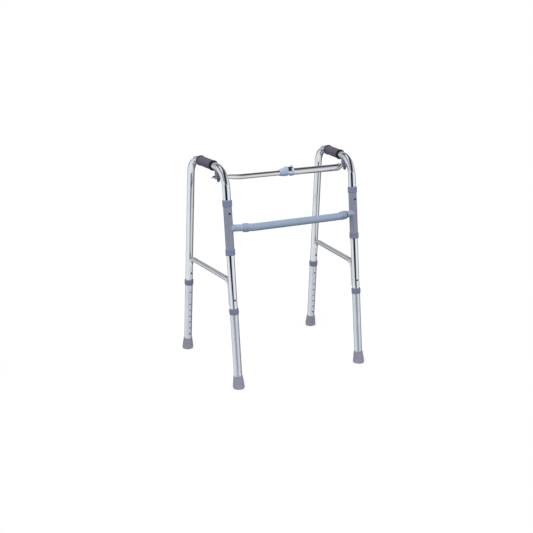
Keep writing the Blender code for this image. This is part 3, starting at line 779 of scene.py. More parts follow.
class SidePlan:
    """Directions and points of one side frame, in its own plane."""

    def __init__(self, handed: Handed) -> None:
        """Work out the plane of a side frame.

        Args:
            handed: Which side it is.
        """
        plan = STANCE
        self.word = handed.word
        self.sign = handed.value
        self.up = up = plan.up
        splay = plan.front_lean + plan.rear_lean
        self.foot = Vector((self.sign * plan.front_span / 2, -plan.foot_depth / 2, 0.0))
        reach = Vector((self.sign * plan.rear_spread, plan.foot_depth, 0.0))
        self.back = (reach - up * reach.dot(up)).normalized()
        self.inward = Vector((-float(self.sign), 0.0, 0.0))
        self.rear_foot = self.foot + reach
        self.rear_up = up * math.cos(splay) - self.back * math.sin(splay)
        self.rear_back = self.back * math.cos(splay) + up * math.sin(splay)
        front_rise = plan.rail_front / up.z
        self.front_corner = self.foot + up * front_rise
        self.rear_corner = self.rear_foot + self.rear_up * (plan.rail_rear / self.rear_up.z)
        run = self.rear_corner - self.front_corner
        self.rail_length = run.length
        self.rail = run.normalized()
        slope = self.rail.dot(up) / self.rail.dot(self.back)
        self.front_turn = (-up).angle(self.rail)
        self.rear_turn = (-self.rear_up).angle(-self.rail)
        pivot_rise = front_rise + plan.pivot_back * slope - plan.pivot_drop
        self.pivot = self.foot + self.back * plan.pivot_back + up * pivot_rise
        bend = plan.front_bend / math.tan(self.front_turn / 2)
        self.sleeve_top = front_rise - bend - plan.sleeve_below_bend
        self.turn = self.foot + up * (self.sleeve_top - plan.bar_drop)
        self.leg_frame = frame_at(self.foot, self.back, up)

    def tube(self, name: str, outer: float, bore: float) -> Workpiece:
        """Draw a tube along the side's legs and rail.

        Args:
            name: The piece's name.
            outer: Radius of the tube.
            bore: Radius of its bore.

        Returns:
            The piece with the tube.
        """
        plan = STANCE
        corners = [self.foot + self.up * plan.tube_end, self.front_corner, self.rear_corner,
                   self.rear_foot + self.rear_up * plan.tube_end]
        bends = [plan.front_bend, plan.rear_bend]
        return Workpiece(name).sweep(corners, bends, outer, bore, plan.bend_steps)


@dataclass
class SideFrame:
    """One bent side tube with its brace, rivets, grip and bar pivot."""

    plan: SidePlan
    tube_edge: float = 0.0004
    edge_angle: float = 0.9
    brace_d: float = 0.0182
    brace_wall: float = 0.0012
    brace_bend: float = 0.034
    brace_steps: int = 16
    brace_rise: float = 0.0915
    brace_slope: float = 0.007
    brace_front_reach: float = 0.0170
    brace_rear_reach: float = 0.0115
    brace_tail_gap: float = 0.0085
    rivet_rise: float = 0.0315
    rivet_d: float = 0.0072
    rivet_high: float = 0.0013
    rivet_sink: float = 0.0009
    rivet_dome: Table = ((0.0, 1.0), (0.38, 0.93), (0.72, 0.68), (0.95, 0.28), (1.0, 0.0))
    grip_front_gap: float = 0.0215
    grip_rear_gap: float = 0.012
    grip_d: float = 0.0344
    grip_end: Table = ((-0.1, 0.0), (-0.1, 4.2), (-0.7, 4.7), (-0.7, 5.7), (-0.1, 6.2), (0.0, 12.0))
    grip_crown: Table = ((0.0003, 0.36), (0.0004, 0.5), (0.0003, 0.64))
    flange_d: float = 0.0380
    flange_length: float = 0.006
    flange_face: Table = ((-1.4, 0.0), (-0.4, 0.5), (0.0, 1.7))
    flange_back: Table = ((0.0, -1.8), (-0.5, -0.6))
    flange_seat: Table = ((0.3, 0.0),)
    block_d: float = 0.024
    block_edge: float = 0.0005
    block_angle: float = 0.6
    block_side: Table = ((0.0, 7.5), (-0.5, 7.0), (-0.5, 6.0), (0.0, 5.5), (0.0, 0.8), (-0.8, 0.0))
    saddle_share: float = 0.25
    saddle_core: float = 0.002
    lug_thick: float = 0.0040
    lug_lift: float = 0.0008
    stud_d: float = 0.008
    stud_pocket: float = 0.0045
    nut_flange_d: float = 0.0280
    nut_flange: float = 0.003
    nut_face: Table = ((-0.6, 0.0), (0.0, -0.6))
    nut_back: Table = ((0.0, 0.9), (-0.5, 0.3))
    nut_skirt: Table = ((1.2, -1.2), (0.0, -1.6), (-0.8, -1.6))
    nut_d: float = 0.0126
    nut_length: float = 0.0150
    nut_edge: float = 0.0005
    nut_angle: float = 0.5
    hexagon_start: float = 0.003
    hexagon_sink: float = 0.0002
    nut_crown: Table = ((0.0, 0.0), (0.30, 0.2), (0.58, 1.1), (0.76, 2.6), (0.80, 4.0), (0.0, 4.0))
    body: str = field(init=False)

    def __post_init__(self) -> None:
        """Name the body that carries the side."""
        self.body = self.plan.word + "_side"

    def build(self) -> None:
        """Build every piece of the side."""
        self.bent_tube()
        self.brace()
        self.rivets()
        self.grip()
        self.pivot()

    def bent_tube(self) -> None:
        """Draw the polished tube that is leg, rail and leg in one."""
        outer = STANCE.tube_d / 2
        piece = self.plan.tube(self.plan.word + "_bent_tube", outer, outer - STANCE.tube_wall)
        piece.soften(self.tube_edge, self.edge_angle)
        piece.done(POLISHED_TUBE, self.body, self.plan.word + "_frame_tube")

    def brace(self) -> None:
        """Draw the low brace between the two legs, with a tail down each."""
        side = self.plan
        radius = self.brace_d / 2
        front = side.foot + side.back * self.brace_front_reach
        rear = side.rear_foot - side.rear_back * self.brace_rear_reach
        low = STANCE.collar_top + self.brace_tail_gap
        high = low + self.brace_rise
        corners = [front + side.up * low, front + side.up * high]
        corners += [rear + side.rear_up * (high - self.brace_slope), rear + side.rear_up * low]
        piece = Workpiece(side.word + "_lower_brace")
        piece.sweep(corners, [self.brace_bend, self.brace_bend], radius, radius - self.brace_wall,
                    self.brace_steps, MIDDLE)
        piece.soften(self.tube_edge, self.edge_angle)
        piece.done(CHROME_BRACE, self.body, side.word + "_brace")

    def rivets(self) -> None:
        """Set a domed rivet head on both ends of each brace fixing."""
        side = self.plan
        rise = STANCE.collar_top + self.rivet_rise
        spots = (
            ("front", side.foot + side.up * rise, side.up, side.back, self.brace_front_reach),
            ("rear", side.rear_foot + side.rear_up * rise, side.rear_up, -side.rear_back,
             self.brace_rear_reach),
        )
        radius = self.rivet_d / 2
        head = dome(radius, 0.0, self.rivet_high, self.rivet_dome)
        head += [(radius, -self.rivet_sink), (0.0, -self.rivet_sink)]
        for word, place, along, inner, reach in spots:
            far = place + inner * (reach + self.brace_d / 2)
            near = place - inner * (STANCE.tube_d / 2)
            piece = Workpiece(f"{side.word}_{word}_brace_rivet")
            piece.turn(head, frame_at(far, along, inner), TINY)
            piece.turn(head, frame_at(near, along, -inner), TINY)
            piece.done(DARK_STEEL, self.body)

    def grip(self) -> None:
        """Turn the soft hand grip, with a raised flange at both ends in near-black rubber of
        painted shade.
        """
        side = self.plan
        first = STANCE.front_bend / math.tan(side.front_turn / 2) + self.grip_front_gap
        rear = STANCE.rear_bend / math.tan(side.rear_turn / 2)
        length = side.rail_length - rear - self.grip_rear_gap - first
        bore = STANCE.tube_d / 2 + GAPS.fit
        body = self.grip_d / 2
        rim = self.flange_d / 2
        edge = self.flange_length
        half = [(bore, edge), *offset(body, edge, self.grip_end)]
        crown = [(body + swell, length * share) for swell, share in self.grip_crown]
        profile = half + crown + [(radius, length - height) for radius, height in reversed(half)]
        start = side.front_corner + side.rail * first
        frame = frame_at(start, side.up, side.rail)
        piece = Workpiece(side.word + "_hand_grip").turn(profile, frame)
        piece.done(GRIP_RUBBER, self.body, side.word + "_grip")
        # The flanges' near-black colour is painted shade on their end faces.
        flange = [(bore, 0.0), *offset(rim, 0.0, self.flange_face),
                  *offset(rim, edge, self.flange_back), *offset(body, edge, self.flange_seat),
                  (bore, edge)]
        ends = Workpiece(side.word + "_grip_flanges").turn(flange, frame)
        ends.turn(flange, frame_at(start + side.rail * length, side.up, -side.rail))
        ends.done(PAINTED_SHADE_RUBBER, self.body)

    def pivot(self) -> None:
        """Build the saddle block and the flanged nut that hold the upper bar."""
        side = self.plan
        frame = frame_at(side.pivot + side.up * self.lug_lift, side.back, side.up)
        rest = self.lug_thick / 2 + GAPS.fit
        top = STANCE.pivot_drop - self.lug_lift - STANCE.tube_d * self.saddle_share
        wide = self.block_d / 2
        bore = self.stud_d / 2 + GAPS.fit
        block = Workpiece(side.word + "_saddle_block")
        block.turn([(bore, top), (wide, top), *offset(wide, rest, self.block_side), (bore, rest)],
                   frame)
        block.shape(side.tube("saddle", STANCE.tube_d / 2 + GAPS.fit, self.saddle_core))
        block.soften(self.block_edge, self.block_angle)
        block.done(BLOCK_PLASTIC, self.body, side.word + "_pivot_block")

        flange = self.nut_flange_d / 2
        barrel = self.nut_d / 2
        low = -rest - self.nut_flange
        deep = -rest - self.stud_pocket
        foot = -rest - self.nut_length
        skirt = offset(barrel, low, self.nut_skirt)
        nut = Workpiece(side.word + "_stud_nut")
        nut.turn([(0.0, deep), (bore, deep), (bore, -rest), *offset(flange, -rest, self.nut_face),
                  *offset(flange, low, self.nut_back), *skirt, (0.0, skirt[-1][1])], frame, MIDDLE)
        hexagon = Workpiece("hexagon")
        hexagon.bar(6, barrel, foot + self.hexagon_start, low + self.hexagon_sink, frame)
        nut.shape(hexagon.soften(self.nut_edge, self.nut_angle), "UNION")
        crown = Workpiece("crown").turn(dome(barrel, foot, MM, self.nut_crown), frame, SMALL)
        nut.shape(crown, "UNION")
        nut.done(NUT_STEEL, self.body, side.word + "_pivot_nut")


@dataclass
class LegSlider:
    """One telescopic leg with its collar, rubber foot and snap button."""

    name: str
    floor: Vector
    up: Vector
    inner: Vector
    finish: Finish
    wall: float = 0.0009
    foot_floor: float = 0.011
    hole_first: float = 0.0655
    hole_pitch: float = 0.0254
    hole_count: int = 8
    hole_band: float = 0.0048
    hole_play: float = 1.25
    hole_sides: int = 28
    drill_start: float = 0.006
    drill_reach: float = 1.4
    shade_near: float = 0.0001
    shade_far: float = 0.0003
    top_setting: int = 6
    button_d: float = 0.0062
    button_proud: float = 0.0020
    button_dome: Table = ((0.0, 0.0), (0.42, 0.2), (0.75, 0.6), (0.95, 1.2), (1.0, 1.9))
    shank_reach: float = 0.0002
    collar_length: float = 0.0215
    collar_d: float = 0.034
    collar_lip: float = 0.003
    collar_rim: Table = ((-2.0, 0.0), (-1.0, -0.3), (-0.3, -1.1), (0.0, -2.4), (0.2, -5.2))
    collar_foot: Table = ((0.2, 6.0), (0.0, 2.8), (-0.3, 1.2), (-0.9, 0.4), (-1.8, 0.0))
    collar_lead: Table = ((0.4, 0.0), (0.0, 0.4))
    foot_length: float = 0.044
    foot_base_d: float = 0.0424
    foot_top_d: float = 0.0346
    foot_spare: float = 0.006
    foot_rim: Table = ((-1.0, 0.0), (-0.2, -0.4), (0.2, -1.4), (0.2, -3.6), (-0.3, -4.2),
                       (0.1, -5.2))
    foot_waist: tuple[float, float] = (0.0013, 0.72)
    foot_side: Table = ((-1.5, 0.50), (-1.0, 0.42), (-1.4, 0.405), (-1.4, 0.385), (-0.8, 0.37),
                        (-0.2, 0.24), (0.0, 0.16), (0.0, 0.10), (-0.3, 0.06))
    tread: float = 0.0016
    tread_taper: float = 0.0004
    tread_rings: Table = ((0.0, 0.0066), (0.0084, 0.0112), (0.0130, 0.0158))
    body: str = field(init=False)
    bore: float = field(init=False)
    radius: float = field(init=False)
    frame: Matrix = field(init=False)

    def __post_init__(self) -> None:
        """Work out the leg's body name, radii and frame."""
        self.body = self.name + "_leg"
        self.bore = STANCE.tube_d / 2 + GAPS.fit
        self.radius = self.bore + self.wall
        self.frame = frame_at(self.floor, self.inner, self.up)

    def build(self) -> None:
        """Build every piece of the leg."""
        self.tube()
        self.collar()
        self.foot()
        self.button()

    def across(self, height: float) -> Matrix:
        """Give the frame that points inward through the leg at a height."""
        return frame_at(self.floor + self.up * height, self.up, self.inner)

    def tube(self) -> None:
        """Draw the satin leg tube, drill its height holes and put dark discs of painted shade
        behind them.
        """
        low = self.foot_floor + GAPS.fit
        high = STANCE.collar_top - self.collar_lip - GAPS.fit
        spots = [self.hole_first + self.hole_pitch * count for count in range(self.hole_count)]
        bands = [spot + step for spot in spots for step in (-self.hole_band, self.hole_band)]
        heights = [low, *bands, high]
        profile = [(self.radius, height) for height in heights]
        profile += [(self.bore, height) for height in reversed(heights)]
        hole = self.button_d / 2 + self.hole_play * GAPS.fit
        drill = Workpiece("drill")
        for spot in spots:
            drill.bar(self.hole_sides, hole, self.drill_start, self.radius * self.drill_reach,
                      self.across(spot))
        piece = Workpiece(self.name + "_slider_tube").turn(profile, self.frame)
        piece.shape(drill).done(self.finish, self.body, self.name + "_leg_tube")
        # Painted shade: a dark disc behind each hole except the top setting's stands in for the
        # shadow in the hole.
        shade = Workpiece(self.name + "_hole_shades")
        for spot in spots[1:self.top_setting] + spots[self.top_setting + 1:]:
            shade.bar(self.hole_sides, hole, self.bore + self.shade_near,
                      self.bore + self.shade_far, self.across(spot))
        shade.done(HOLE_SHADE, self.body)

    def collar(self) -> None:
        """Turn the moulded collar at the top of the leg."""
        top = STANCE.collar_top
        lip = top - self.collar_lip
        foot = top - self.collar_length
        outer = self.collar_d / 2
        over_leg = self.radius + GAPS.fit
        profile = [(self.bore, top), *offset(outer, top, self.collar_rim),
                   *offset(outer, foot, self.collar_foot),
                   *offset(over_leg, foot, self.collar_lead), (over_leg, lip), (self.bore, lip)]
        piece = Workpiece(self.name + "_clamp_collar").turn(profile, self.frame)
        piece.done(COLLAR_PLASTIC, self.body, self.name + "_collar")

    def foot(self) -> None:
        """Turn the rubber foot, cut it level and sink a tread into its sole."""
        top = self.foot_top_d / 2
        base = self.foot_base_d / 2
        inside = self.radius + GAPS.fit
        high = self.foot_length
        swell, share = self.foot_waist
        side = [(base + out * MM, high * rise) for out, rise in self.foot_side]
        profile = [(0.0, self.foot_floor), (inside, self.foot_floor), (inside, high),
                   *offset(top, high, self.foot_rim), (top + swell, high * share), *side,
                   (side[-1][0], -self.foot_spare), (0.0, -self.foot_spare)]
        piece = Workpiece(self.name + "_rubber_foot").turn(profile, self.frame)
        mesh = piece.mesh
        cut = bmesh.ops.bisect_plane(mesh, geom=mesh.verts[:] + mesh.edges[:] + mesh.faces[:],
                                     plane_co=(0.0, 0.0, 0.0), plane_no=(0.0, 0.0, -1.0),
                                     clear_outer=True)
        bmesh.ops.edgeloop_fill(mesh, edges=edges_in(cut["geom_cut"]))
        bmesh.ops.recalc_face_normals(mesh, faces=mesh.faces)
        tread = Workpiece("tread")
        flat = frame_at(self.floor, Vector((1.0, 0.0, 0.0)), Vector((0.0, 0.0, 1.0)))
        for near, far in self.tread_rings:
            tread.turn([(near, self.tread), (far - self.tread_taper, self.tread), (far, -PAST),
                        (near, -PAST)], flat, MIDDLE)
        piece.shape(tread).done(FOOT_RUBBER, self.body, self.name + "_foot")

    def button(self) -> None:
        """Turn the domed snap button in the lowest height hole."""
        shank = self.button_d / 2
        seat = STANCE.tube_d / 2 - self.shank_reach
        profile = dome(shank, self.radius + self.button_proud, -MM, self.button_dome)
        profile += [(shank, seat), (0.0, seat)]
        piece = Workpiece(self.name + "_snap_button")
        piece.turn(profile, self.across(self.hole_first), TINY)
        piece.done(DARK_STEEL, self.name + "_button", self.name + "_button")


@dataclass
class FrontBar:
    """The lower cross bar with a hinge sleeve, caps, ring and screw at both ends."""

    sides: list[SidePlan]
    sleeve_length: float = 0.1953
    sleeve_wall: float = 0.0011
    sleeve_band: float = 0.017
    sleeve_edge: float = 0.0003
    edge_angle: float = 0.9
    cap_length: float = 0.022
    cap_lip: float = 0.003
    cap_wall: float = 0.0014
    cap_rim: Table = ((-1.8, 0.0), (-0.8, -0.3), (-0.1, -1.2), (0.3, -2.6), (0.4, -5.0),
                      (0.1, -9.0))
    cap_foot: Table = ((-0.1, 6.0), (0.0, 4.0), (0.3, 2.6), (0.2, 1.2), (-0.3, 0.3), (-0.8, 0.0))
    screw_drop: float = 0.047
    screw_d: float = 0.0048
    screw_head_d: float = 0.0084
    screw_rise: float = 0.0016
    screw_seat: float = 0.0001
    screw_sink: float = 0.0009
    screw_dome: Table = ((0.0, 1.0), (0.45, 0.96), (0.75, 0.80), (0.95, 0.42), (1.0, 0.0))
    slot_narrow: float = 0.28
    slot_length: float = 0.62
    slot_floor: float = 0.35
    slot_top: float = 2.0
    bar_d: float = 0.0272
    bar_wall: float = 0.0010
    bar_bend: float = 0.080
    bar_steps: int = 8
    bend_start: float = 0.029
    stub_angle: float = math.radians(16.0)
    stub_wall: float = 0.0014
    stub_floor: float = 0.003
    weld_bead: Table = ((0.0, 20.5), (0.4, 18.0), (1.1, 15.5), (1.4, 0.0))
    weld_sink: float = 0.0004
    weld_reach: float = 0.03
    ring_start: float = 0.050
    ring_length: float = 0.020
    ring_wall: float = 0.0019
    ring_lip: float = 0.008
    ring_rim: Table = ((-1.2, 0.0), (-0.3, -0.4), (0.0, -1.4), (0.0, -6.2), (-0.5, -6.6),
                       (-0.5, -7.8), (0.0, -8.2))
    ring_foot: Table = ((0.0, 1.6), (-0.3, 0.5), (-0.8, 0.0))
    gasket_thick: float = 0.0034
    gasket_near: Table = ((-0.3, 0.0), (0.0, -0.4))
    gasket_far: Table = ((0.0, 0.6), (-0.6, 0.0))
    past_ring: float = 0.003
    body: str = "cross_bar"

    @property
    def sleeve_bore(self) -> float:
        """Give the bore radius of a hinge sleeve."""
        return STANCE.tube_d / 2 + GAPS.turn

    @property
    def sleeve_radius(self) -> float:
        """Give the outer radius of a hinge sleeve."""
        return self.sleeve_bore + self.sleeve_wall

    @property
    def stub_radius(self) -> float:
        """Give the outer radius of a stub."""
        return self.bar_d / 2 - self.bar_wall - GAPS.fit

    def build(self) -> None:
        """Build the bar and the fittings of both ends."""
        for side in self.sides:
            self.sleeve(side)
            self.stub(side)
            self.screw(side)
            self.caps(side)
            self.ring(side)
        self.cross_tube()

    def along(self, side: SidePlan) -> Vector:
        """Give the direction in which a side's stub leaves its sleeve."""
        return side.inward * math.cos(self.stub_angle) + STANCE.ahead * math.sin(self.stub_angle)

    def stub_frame(self, side: SidePlan) -> Matrix:
        """Give the frame along a side's stub."""
        return frame_at(side.turn, side.up.cross(self.along(side)), self.along(side))

    def sleeve(self, side: SidePlan) -> None:
        """Turn a hinge sleeve and bore it out for its leg.

        Args:
            side: The side that it belongs to.
        """
        low = side.sleeve_top - self.sleeve_length + self.cap_lip + GAPS.fit
        high = side.sleeve_top - self.cap_lip - GAPS.fit
        rise = side.sleeve_top - STANCE.bar_drop
        heights = (high, rise + self.sleeve_band, rise - self.sleeve_band, low)
        wall = [(self.sleeve_radius, height) for height in heights]
        piece = Workpiece(side.word + "_hinge_sleeve")
        piece.turn([(0.0, high), *wall, (0.0, low)], side.leg_frame)
        piece.bore(self.sleeve_bore, low - PAST, high + PAST, side.leg_frame)
        piece.soften(self.sleeve_edge, self.edge_angle)
        piece.done(SLEEVE_ENAMEL, self.body, side.word + "_sleeve")

    def stub(self, side: SidePlan) -> None:
        """Draw the enamelled stub with the weld that joins it to its sleeve.

        Args:
            side: The side that it belongs to.
        """
        outer = self.stub_radius
        inside = outer - self.stub_wall
        start = self.sleeve_radius + self.stub_floor
        end = self.ring_start + self.ring_length + self.past_ring
        rise = side.sleeve_top - STANCE.bar_drop
        arm = Workpiece(side.word + "_stub_tube")
        arm.turn([(0.0, start), (inside, start), (inside, end), (outer, end),
                  *offset(outer, 0.0, self.weld_bead), (0.0, 0.0)], self.stub_frame(side))
        arm.bore(self.sleeve_radius - self.weld_sink, rise - self.weld_reach,
                 rise + self.weld_reach, side.leg_frame)
        arm.done(BAR_ENAMEL, self.body)

    def screw(self, side: SidePlan) -> None:
        """Turn a sleeve's set screw and cut the cross in its head.

        Args:
            side: The side that it belongs to.
        """
        place = side.foot + side.up * (side.sleeve_top - self.screw_drop)
        frame = frame_at(place, side.up, STANCE.forward)
        seat = self.sleeve_radius - self.screw_seat
        sink = seat - self.screw_sink
        head = self.screw_head_d / 2
        shank = self.screw_d / 2
        rise = self.screw_rise
        piece = Workpiece(side.word + "_set_screw")
        piece.turn([*dome(head, seat, rise, self.screw_dome), (shank, seat), (shank, sink),
                    (0.0, sink)], frame, SMALL)
        narrow = Matrix.Diagonal((1.0, self.slot_narrow, 1.0, 1.0))
        for angle in (math.pi / 4, math.pi * 3 / 4):
            turned = frame @ Matrix.Rotation(angle, 4, "Z") @ narrow
            piece.shape(Workpiece("slot").bar(4, head * self.slot_length,
                                              seat + rise * self.slot_floor,
                                              seat + rise * self.slot_top, turned))
        piece.done(DARK_STEEL, self.body, side.word + "_sleeve_screw")

    def caps(self, side: SidePlan) -> None:
        """Turn the moulded caps at both ends of a sleeve.

        Args:
            side: The side that they belong to.
        """
        over = self.sleeve_radius + GAPS.fit
        outer = over + self.cap_wall
        bore = self.sleeve_bore
        end = self.cap_length
        lip = end - self.cap_lip
        profile = [(bore, end), *offset(outer, end, self.cap_rim),
                   *offset(outer, 0.0, self.cap_foot), (over, 0.0), (over, lip), (bore, lip)]
        top = side.sleeve_top - end
        low = side.sleeve_top - self.sleeve_length + end
        for word, rise, along in (("upper", top, side.up), ("lower", low, -side.up)):
            piece = Workpiece(f"{side.word}_{word}_sleeve_cap")
            piece.turn(profile, frame_at(side.foot + side.up * rise, side.back, along))
            piece.done(FITTING_PLASTIC, self.body, f"{side.word}_{word}_cap")

    def ring(self, side: SidePlan) -> None:
        """Turn the ring that joins a stub to the cross bar, with a near-black ring of painted shade
        at its end on the right.

        Args:
            side: The side that it belongs to.
        """
        over_stub = self.stub_radius + GAPS.fit
        over_bar = self.bar_d / 2 + GAPS.fit
        outer = over_bar + self.ring_wall
        start = self.ring_start
        step = start + self.ring_lip
        end = start + self.ring_length
        frame = self.stub_frame(side)
        profile = [(over_bar, end), *offset(outer, end, self.ring_rim),
                   *offset(outer, start, self.ring_foot), (over_stub, start), (over_stub, step),
                   (over_bar, step)]
        piece = Workpiece(side.word + "_stub_ring").turn(profile, frame)
        piece.done(RING_PLASTIC, self.body, side.word + "_bar_ring")
        # Painted shade: on the right, a near-black ring against the ring's end stands in for the
        # shadowed gap between ring and stub.
        if side.sign < 0:
            return
        close = start - GAPS.fit
        far = close - self.gasket_thick
        profile = [(over_stub, close), *offset(outer, close, self.gasket_near),
                   *offset(outer, far, self.gasket_far), (over_stub, far)]
        shade_ring = Workpiece(side.word + "_ring_gasket").turn(profile, frame)
        shade_ring.done(PAINTED_SHADE_RUBBER, self.body)

    def cross_tube(self) -> None:
        """Draw the enamelled bar between the two rings."""
        start = self.ring_start + self.ring_lip + GAPS.fit
        ends = [side.turn + self.along(side) * start for side in self.sides]
        inner = [end + self.along(side) * self.bend_start for end, side in zip(ends, self.sides)]
        outer = self.bar_d / 2
        piece = Workpiece("front_cross_tube")
        piece.sweep([ends[0], inner[0], inner[1], ends[1]], [self.bar_bend, self.bar_bend], outer,
                    outer - self.bar_wall, self.bar_steps)
        piece.done(BAR_ENAMEL, self.body, "cross_bar")


@dataclass
class UpperBar:
    """The telescopic upper bar, its flattened ends, stops and sliding latch."""

    left: SidePlan
    right: SidePlan
    inner_d: float = 0.0182
    inner_wall: float = 0.0012
    inner_forward: float = 0.00226
    fall: float = 0.0045
    bar_play: float = 0.00055
    bar_sides: int = 56
    bar_edge: float = 0.0003
    edge_angle: float = 0.7
    bore_inset: float = 0.004
    outer_wall: float = 0.0006
    overlap: float = 0.060
    lug_thick: float = 0.0040
    lug_lift: float = 0.0008
    lug_width: float = 0.026
    lug_outboard: float = 0.026
    lug_inboard: float = 0.0135
    lug_corner: float = 0.011
    lug_round: tuple[float, ...] = (0.30, 0.48, 0.64, 0.78, 0.89, 0.96, 1.0)
    lug_power: float = 4.0
    inner_blend: float = 0.075
    outer_blend: float = 0.022
    blend_steps: int = 12
    stud_d: float = 0.008
    block_d: float = 0.024
    stop_d: float = 0.0084
    stop_height: float = 0.0042
    stop_gap: float = 0.0010
    stop_sides: int = 36
    stop_crown: Table = ((0.0, 0.0), (0.5, 0.1), (0.8, 0.7), (0.96, 1.7), (1.0, 2.8))
    stop_foot: Table = ((1.0, 1.2), (0.92, 0.8), (0.92, 0.0), (0.0, 0.0))
    lock_start: float = -0.0108
    lock_length: float = 0.0234
    lock_travel: float = 0.0038
    lock_lip: float = 0.003
    lock_wall: float = 0.0010
    lock_rise: float = 0.0051
    nose_wall: float = 0.0012
    nose_edge: Table = ((0.0, 0.5), (-0.4, 0.0))
    ear_length: float = 0.0050
    ear_wall: float = 0.0018
    ear_rise: float = 0.0096
    ear_lead: float = 0.0030
    ear_edge: Table = ((0.0, 0.0009), (0.06, 0.0003), (0.16, 0.0), (0.84, 0.0), (0.94, 0.0003),
                       (1.0, 0.0009))
    fin_inset: float = 0.0004
    fin_length: float = 0.0082
    fin_half: float = 0.0072
    fin_power: float = 2.6
    chin_length: float = 0.0050
    chin_drop: float = 0.0040
    chin_lap: float = 0.002
    hood_brim: float = 0.0100
    hood_power: float = 2.3
    hood_steps: int = 16
    hood_front: float = 0.0009
    hood_back: float = 0.0014
    hood_lip: Table = ((0.0, 0.0007), (0.0003, 0.0002))
    hood_end: Table = ((0.0007, 0.0002), (0.0003, 0.0005), (0.0, 0.0010))
    hood_bulge: float = 0.18
    press: float = 0.80
    web_length: float = 0.0153
    web_top: float = 0.0184
    web_half: float = 0.0070
    web_power: float = 6.0
    web_edge: Table = ((0.0, 0.86), (0.0005, 0.95), (0.0014, 1.0))
    mouth_inset: float = 0.0015
    coil_wire: float = 0.0009
    coil_share: float = 0.47
    coil_gap: float = 0.0005
    coil_turns: int = 3
    coil_steps: int = 36
    coil_sides: int = 12
    coil_pocket: float = 0.0135
    shoulder_length: float = 0.003
    shoulder_edge: Table = ((-0.3, 0.0), (0.0, -0.3))

    @property
    def outer_bore(self) -> float:
        """Give the bore radius of the outer half."""
        return self.inner_d / 2 + self.inner_forward + self.bar_play

    @property
    def nose(self) -> float:
        """Give the radius of the tube that the latch slides on."""
        return self.outer_bore + self.nose_wall

    @property
    def coil_radius(self) -> float:
        """Give the mean radius of the latch's coil."""
        return self.nose + GAPS.fit + self.coil_wire / 2 + self.coil_gap

    @property
    def shoulder(self) -> float:
        """Give the radius of the shoulder that the coil leans on."""
        return self.coil_radius + self.coil_wire / 2

    @property
    def lock_end(self) -> float:
        """Give where the release sleeve ends at rest."""
        return self.lock_start + self.lock_length

    @property
    def web_start(self) -> float:
        """Give where the web of the catch begins."""
        return self.lock_end + self.lock_travel + GAPS.fit

    @property
    def ear_start(self) -> float:
        """Give where the ear of the catch begins."""
        return self.web_start + self.web_length

    @property
    def mouth(self) -> float:
        """Give where the outer half of the bar ends inside the ear."""
        return self.ear_start + self.mouth_inset

    @property
    def middle(self) -> Matrix:
        """Give the frame at the bar's middle, along it to the right, with its Y up."""
        centre = Vector((0.0, self.right.pivot.y, self.right.pivot.z)) - STANCE.up * self.fall
        return frame_at(centre, -STANCE.forward, Vector((1.0, 0.0, 0.0)))

    @property
    def oval(self) -> Matrix:
        """Give the middle frame pressed flat, as the bar only needs room sideways."""
        return self.middle @ Matrix.Diagonal((1.0, self.press, 1.0, 1.0))

    def build(self) -> None:
        """Build both halves and the latch."""
        self.half(self.left, "inner", self.inner_d / 2, self.inner_wall,
                  self.mouth + self.overlap - self.left.pivot.x, self.inner_forward,
                  self.inner_blend)
        self.stop(self.left, "inner")
        self.half(self.right, "outer", self.outer_bore + self.outer_wall, self.outer_wall,
                  self.right.pivot.x - self.mouth, 0.0, self.outer_blend)
        self.stop(self.right, "outer")
        self.catch()
        self.nose_and_web()
        self.slider()
        self.coil()

    def half(self, side: SidePlan, word: str, radius: float, wall: float, reach: float,
             shift: float, fan: float) -> None:
        """Draw one half of the bar with its flattened end.

        Args:
            side: The side that carries it.
            word: Which half it is.
            radius: Its outer radius.
            wall: Its wall.
            reach: How far it runs inward from its pivot.
            shift: How far its tube sits ahead of the pivot.
            fan: How long the flattened end takes to become round.
        """
        flat = self.lug_thick / 2
        wide = self.lug_width / 2
        lift = self.lug_lift
        frame = frame_at(side.pivot, side.up.cross(side.inward), side.inward)
        shift *= -float(side.inward.x)
        stations = []
        for share in self.lug_round:
            along = self.lug_corner * (1.0 - math.sqrt(1.0 - share ** 2)) - self.lug_outboard
            stations.append(Station(along, wide * share, flat, flat, 0.0, self.lug_power, lift))
        root = len(stations)
        stations.append(Station(self.lug_inboard, wide, flat, flat, 0.0, self.lug_power, lift))
        for count in range(1, self.blend_steps + 1):
            share = count / self.blend_steps
            ease = share * share * (3.0 - 2.0 * share)
            tall = flat + (radius - flat) * (1.0 - (1.0 - share) ** 4)
            stations.append(Station(self.lug_inboard + fan * share, wide + (radius - wide) * ease,
                                    tall, tall, shift * ease,
                                    self.lug_power + (2.0 - self.lug_power) * ease,
                                    lift - (lift + self.fall) * ease))
        stations.append(Station(reach, radius, radius, radius, shift, 2.0, -self.fall))
        lug = Workpiece(f"{word}_bar_lug").loft(stations[:root + 1], frame, self.bar_sides)
        hole = Workpiece("stud_hole").bar(TINY, self.stud_d / 2 + GAPS.fit, -PAST, PAST,
                                          frame_at(side.pivot, side.back, side.up))
        lug.shape(hole).soften(self.bar_edge, self.edge_angle)
        lug.done(LUG_STEEL, word + "_bar")
        piece = Workpiece(f"{word}_bar_tube").loft(stations[root:], frame, self.bar_sides)
        piece.bore(radius - wall, self.lug_inboard + fan + self.bore_inset, reach + PAST,
                   frame @ Matrix.Translation((shift, -self.fall, 0.0)), self.bar_sides)
        piece.soften(self.bar_edge, self.edge_angle)
        piece.done(CHROME_BAR, word + "_bar", "upper_bar_" + word)

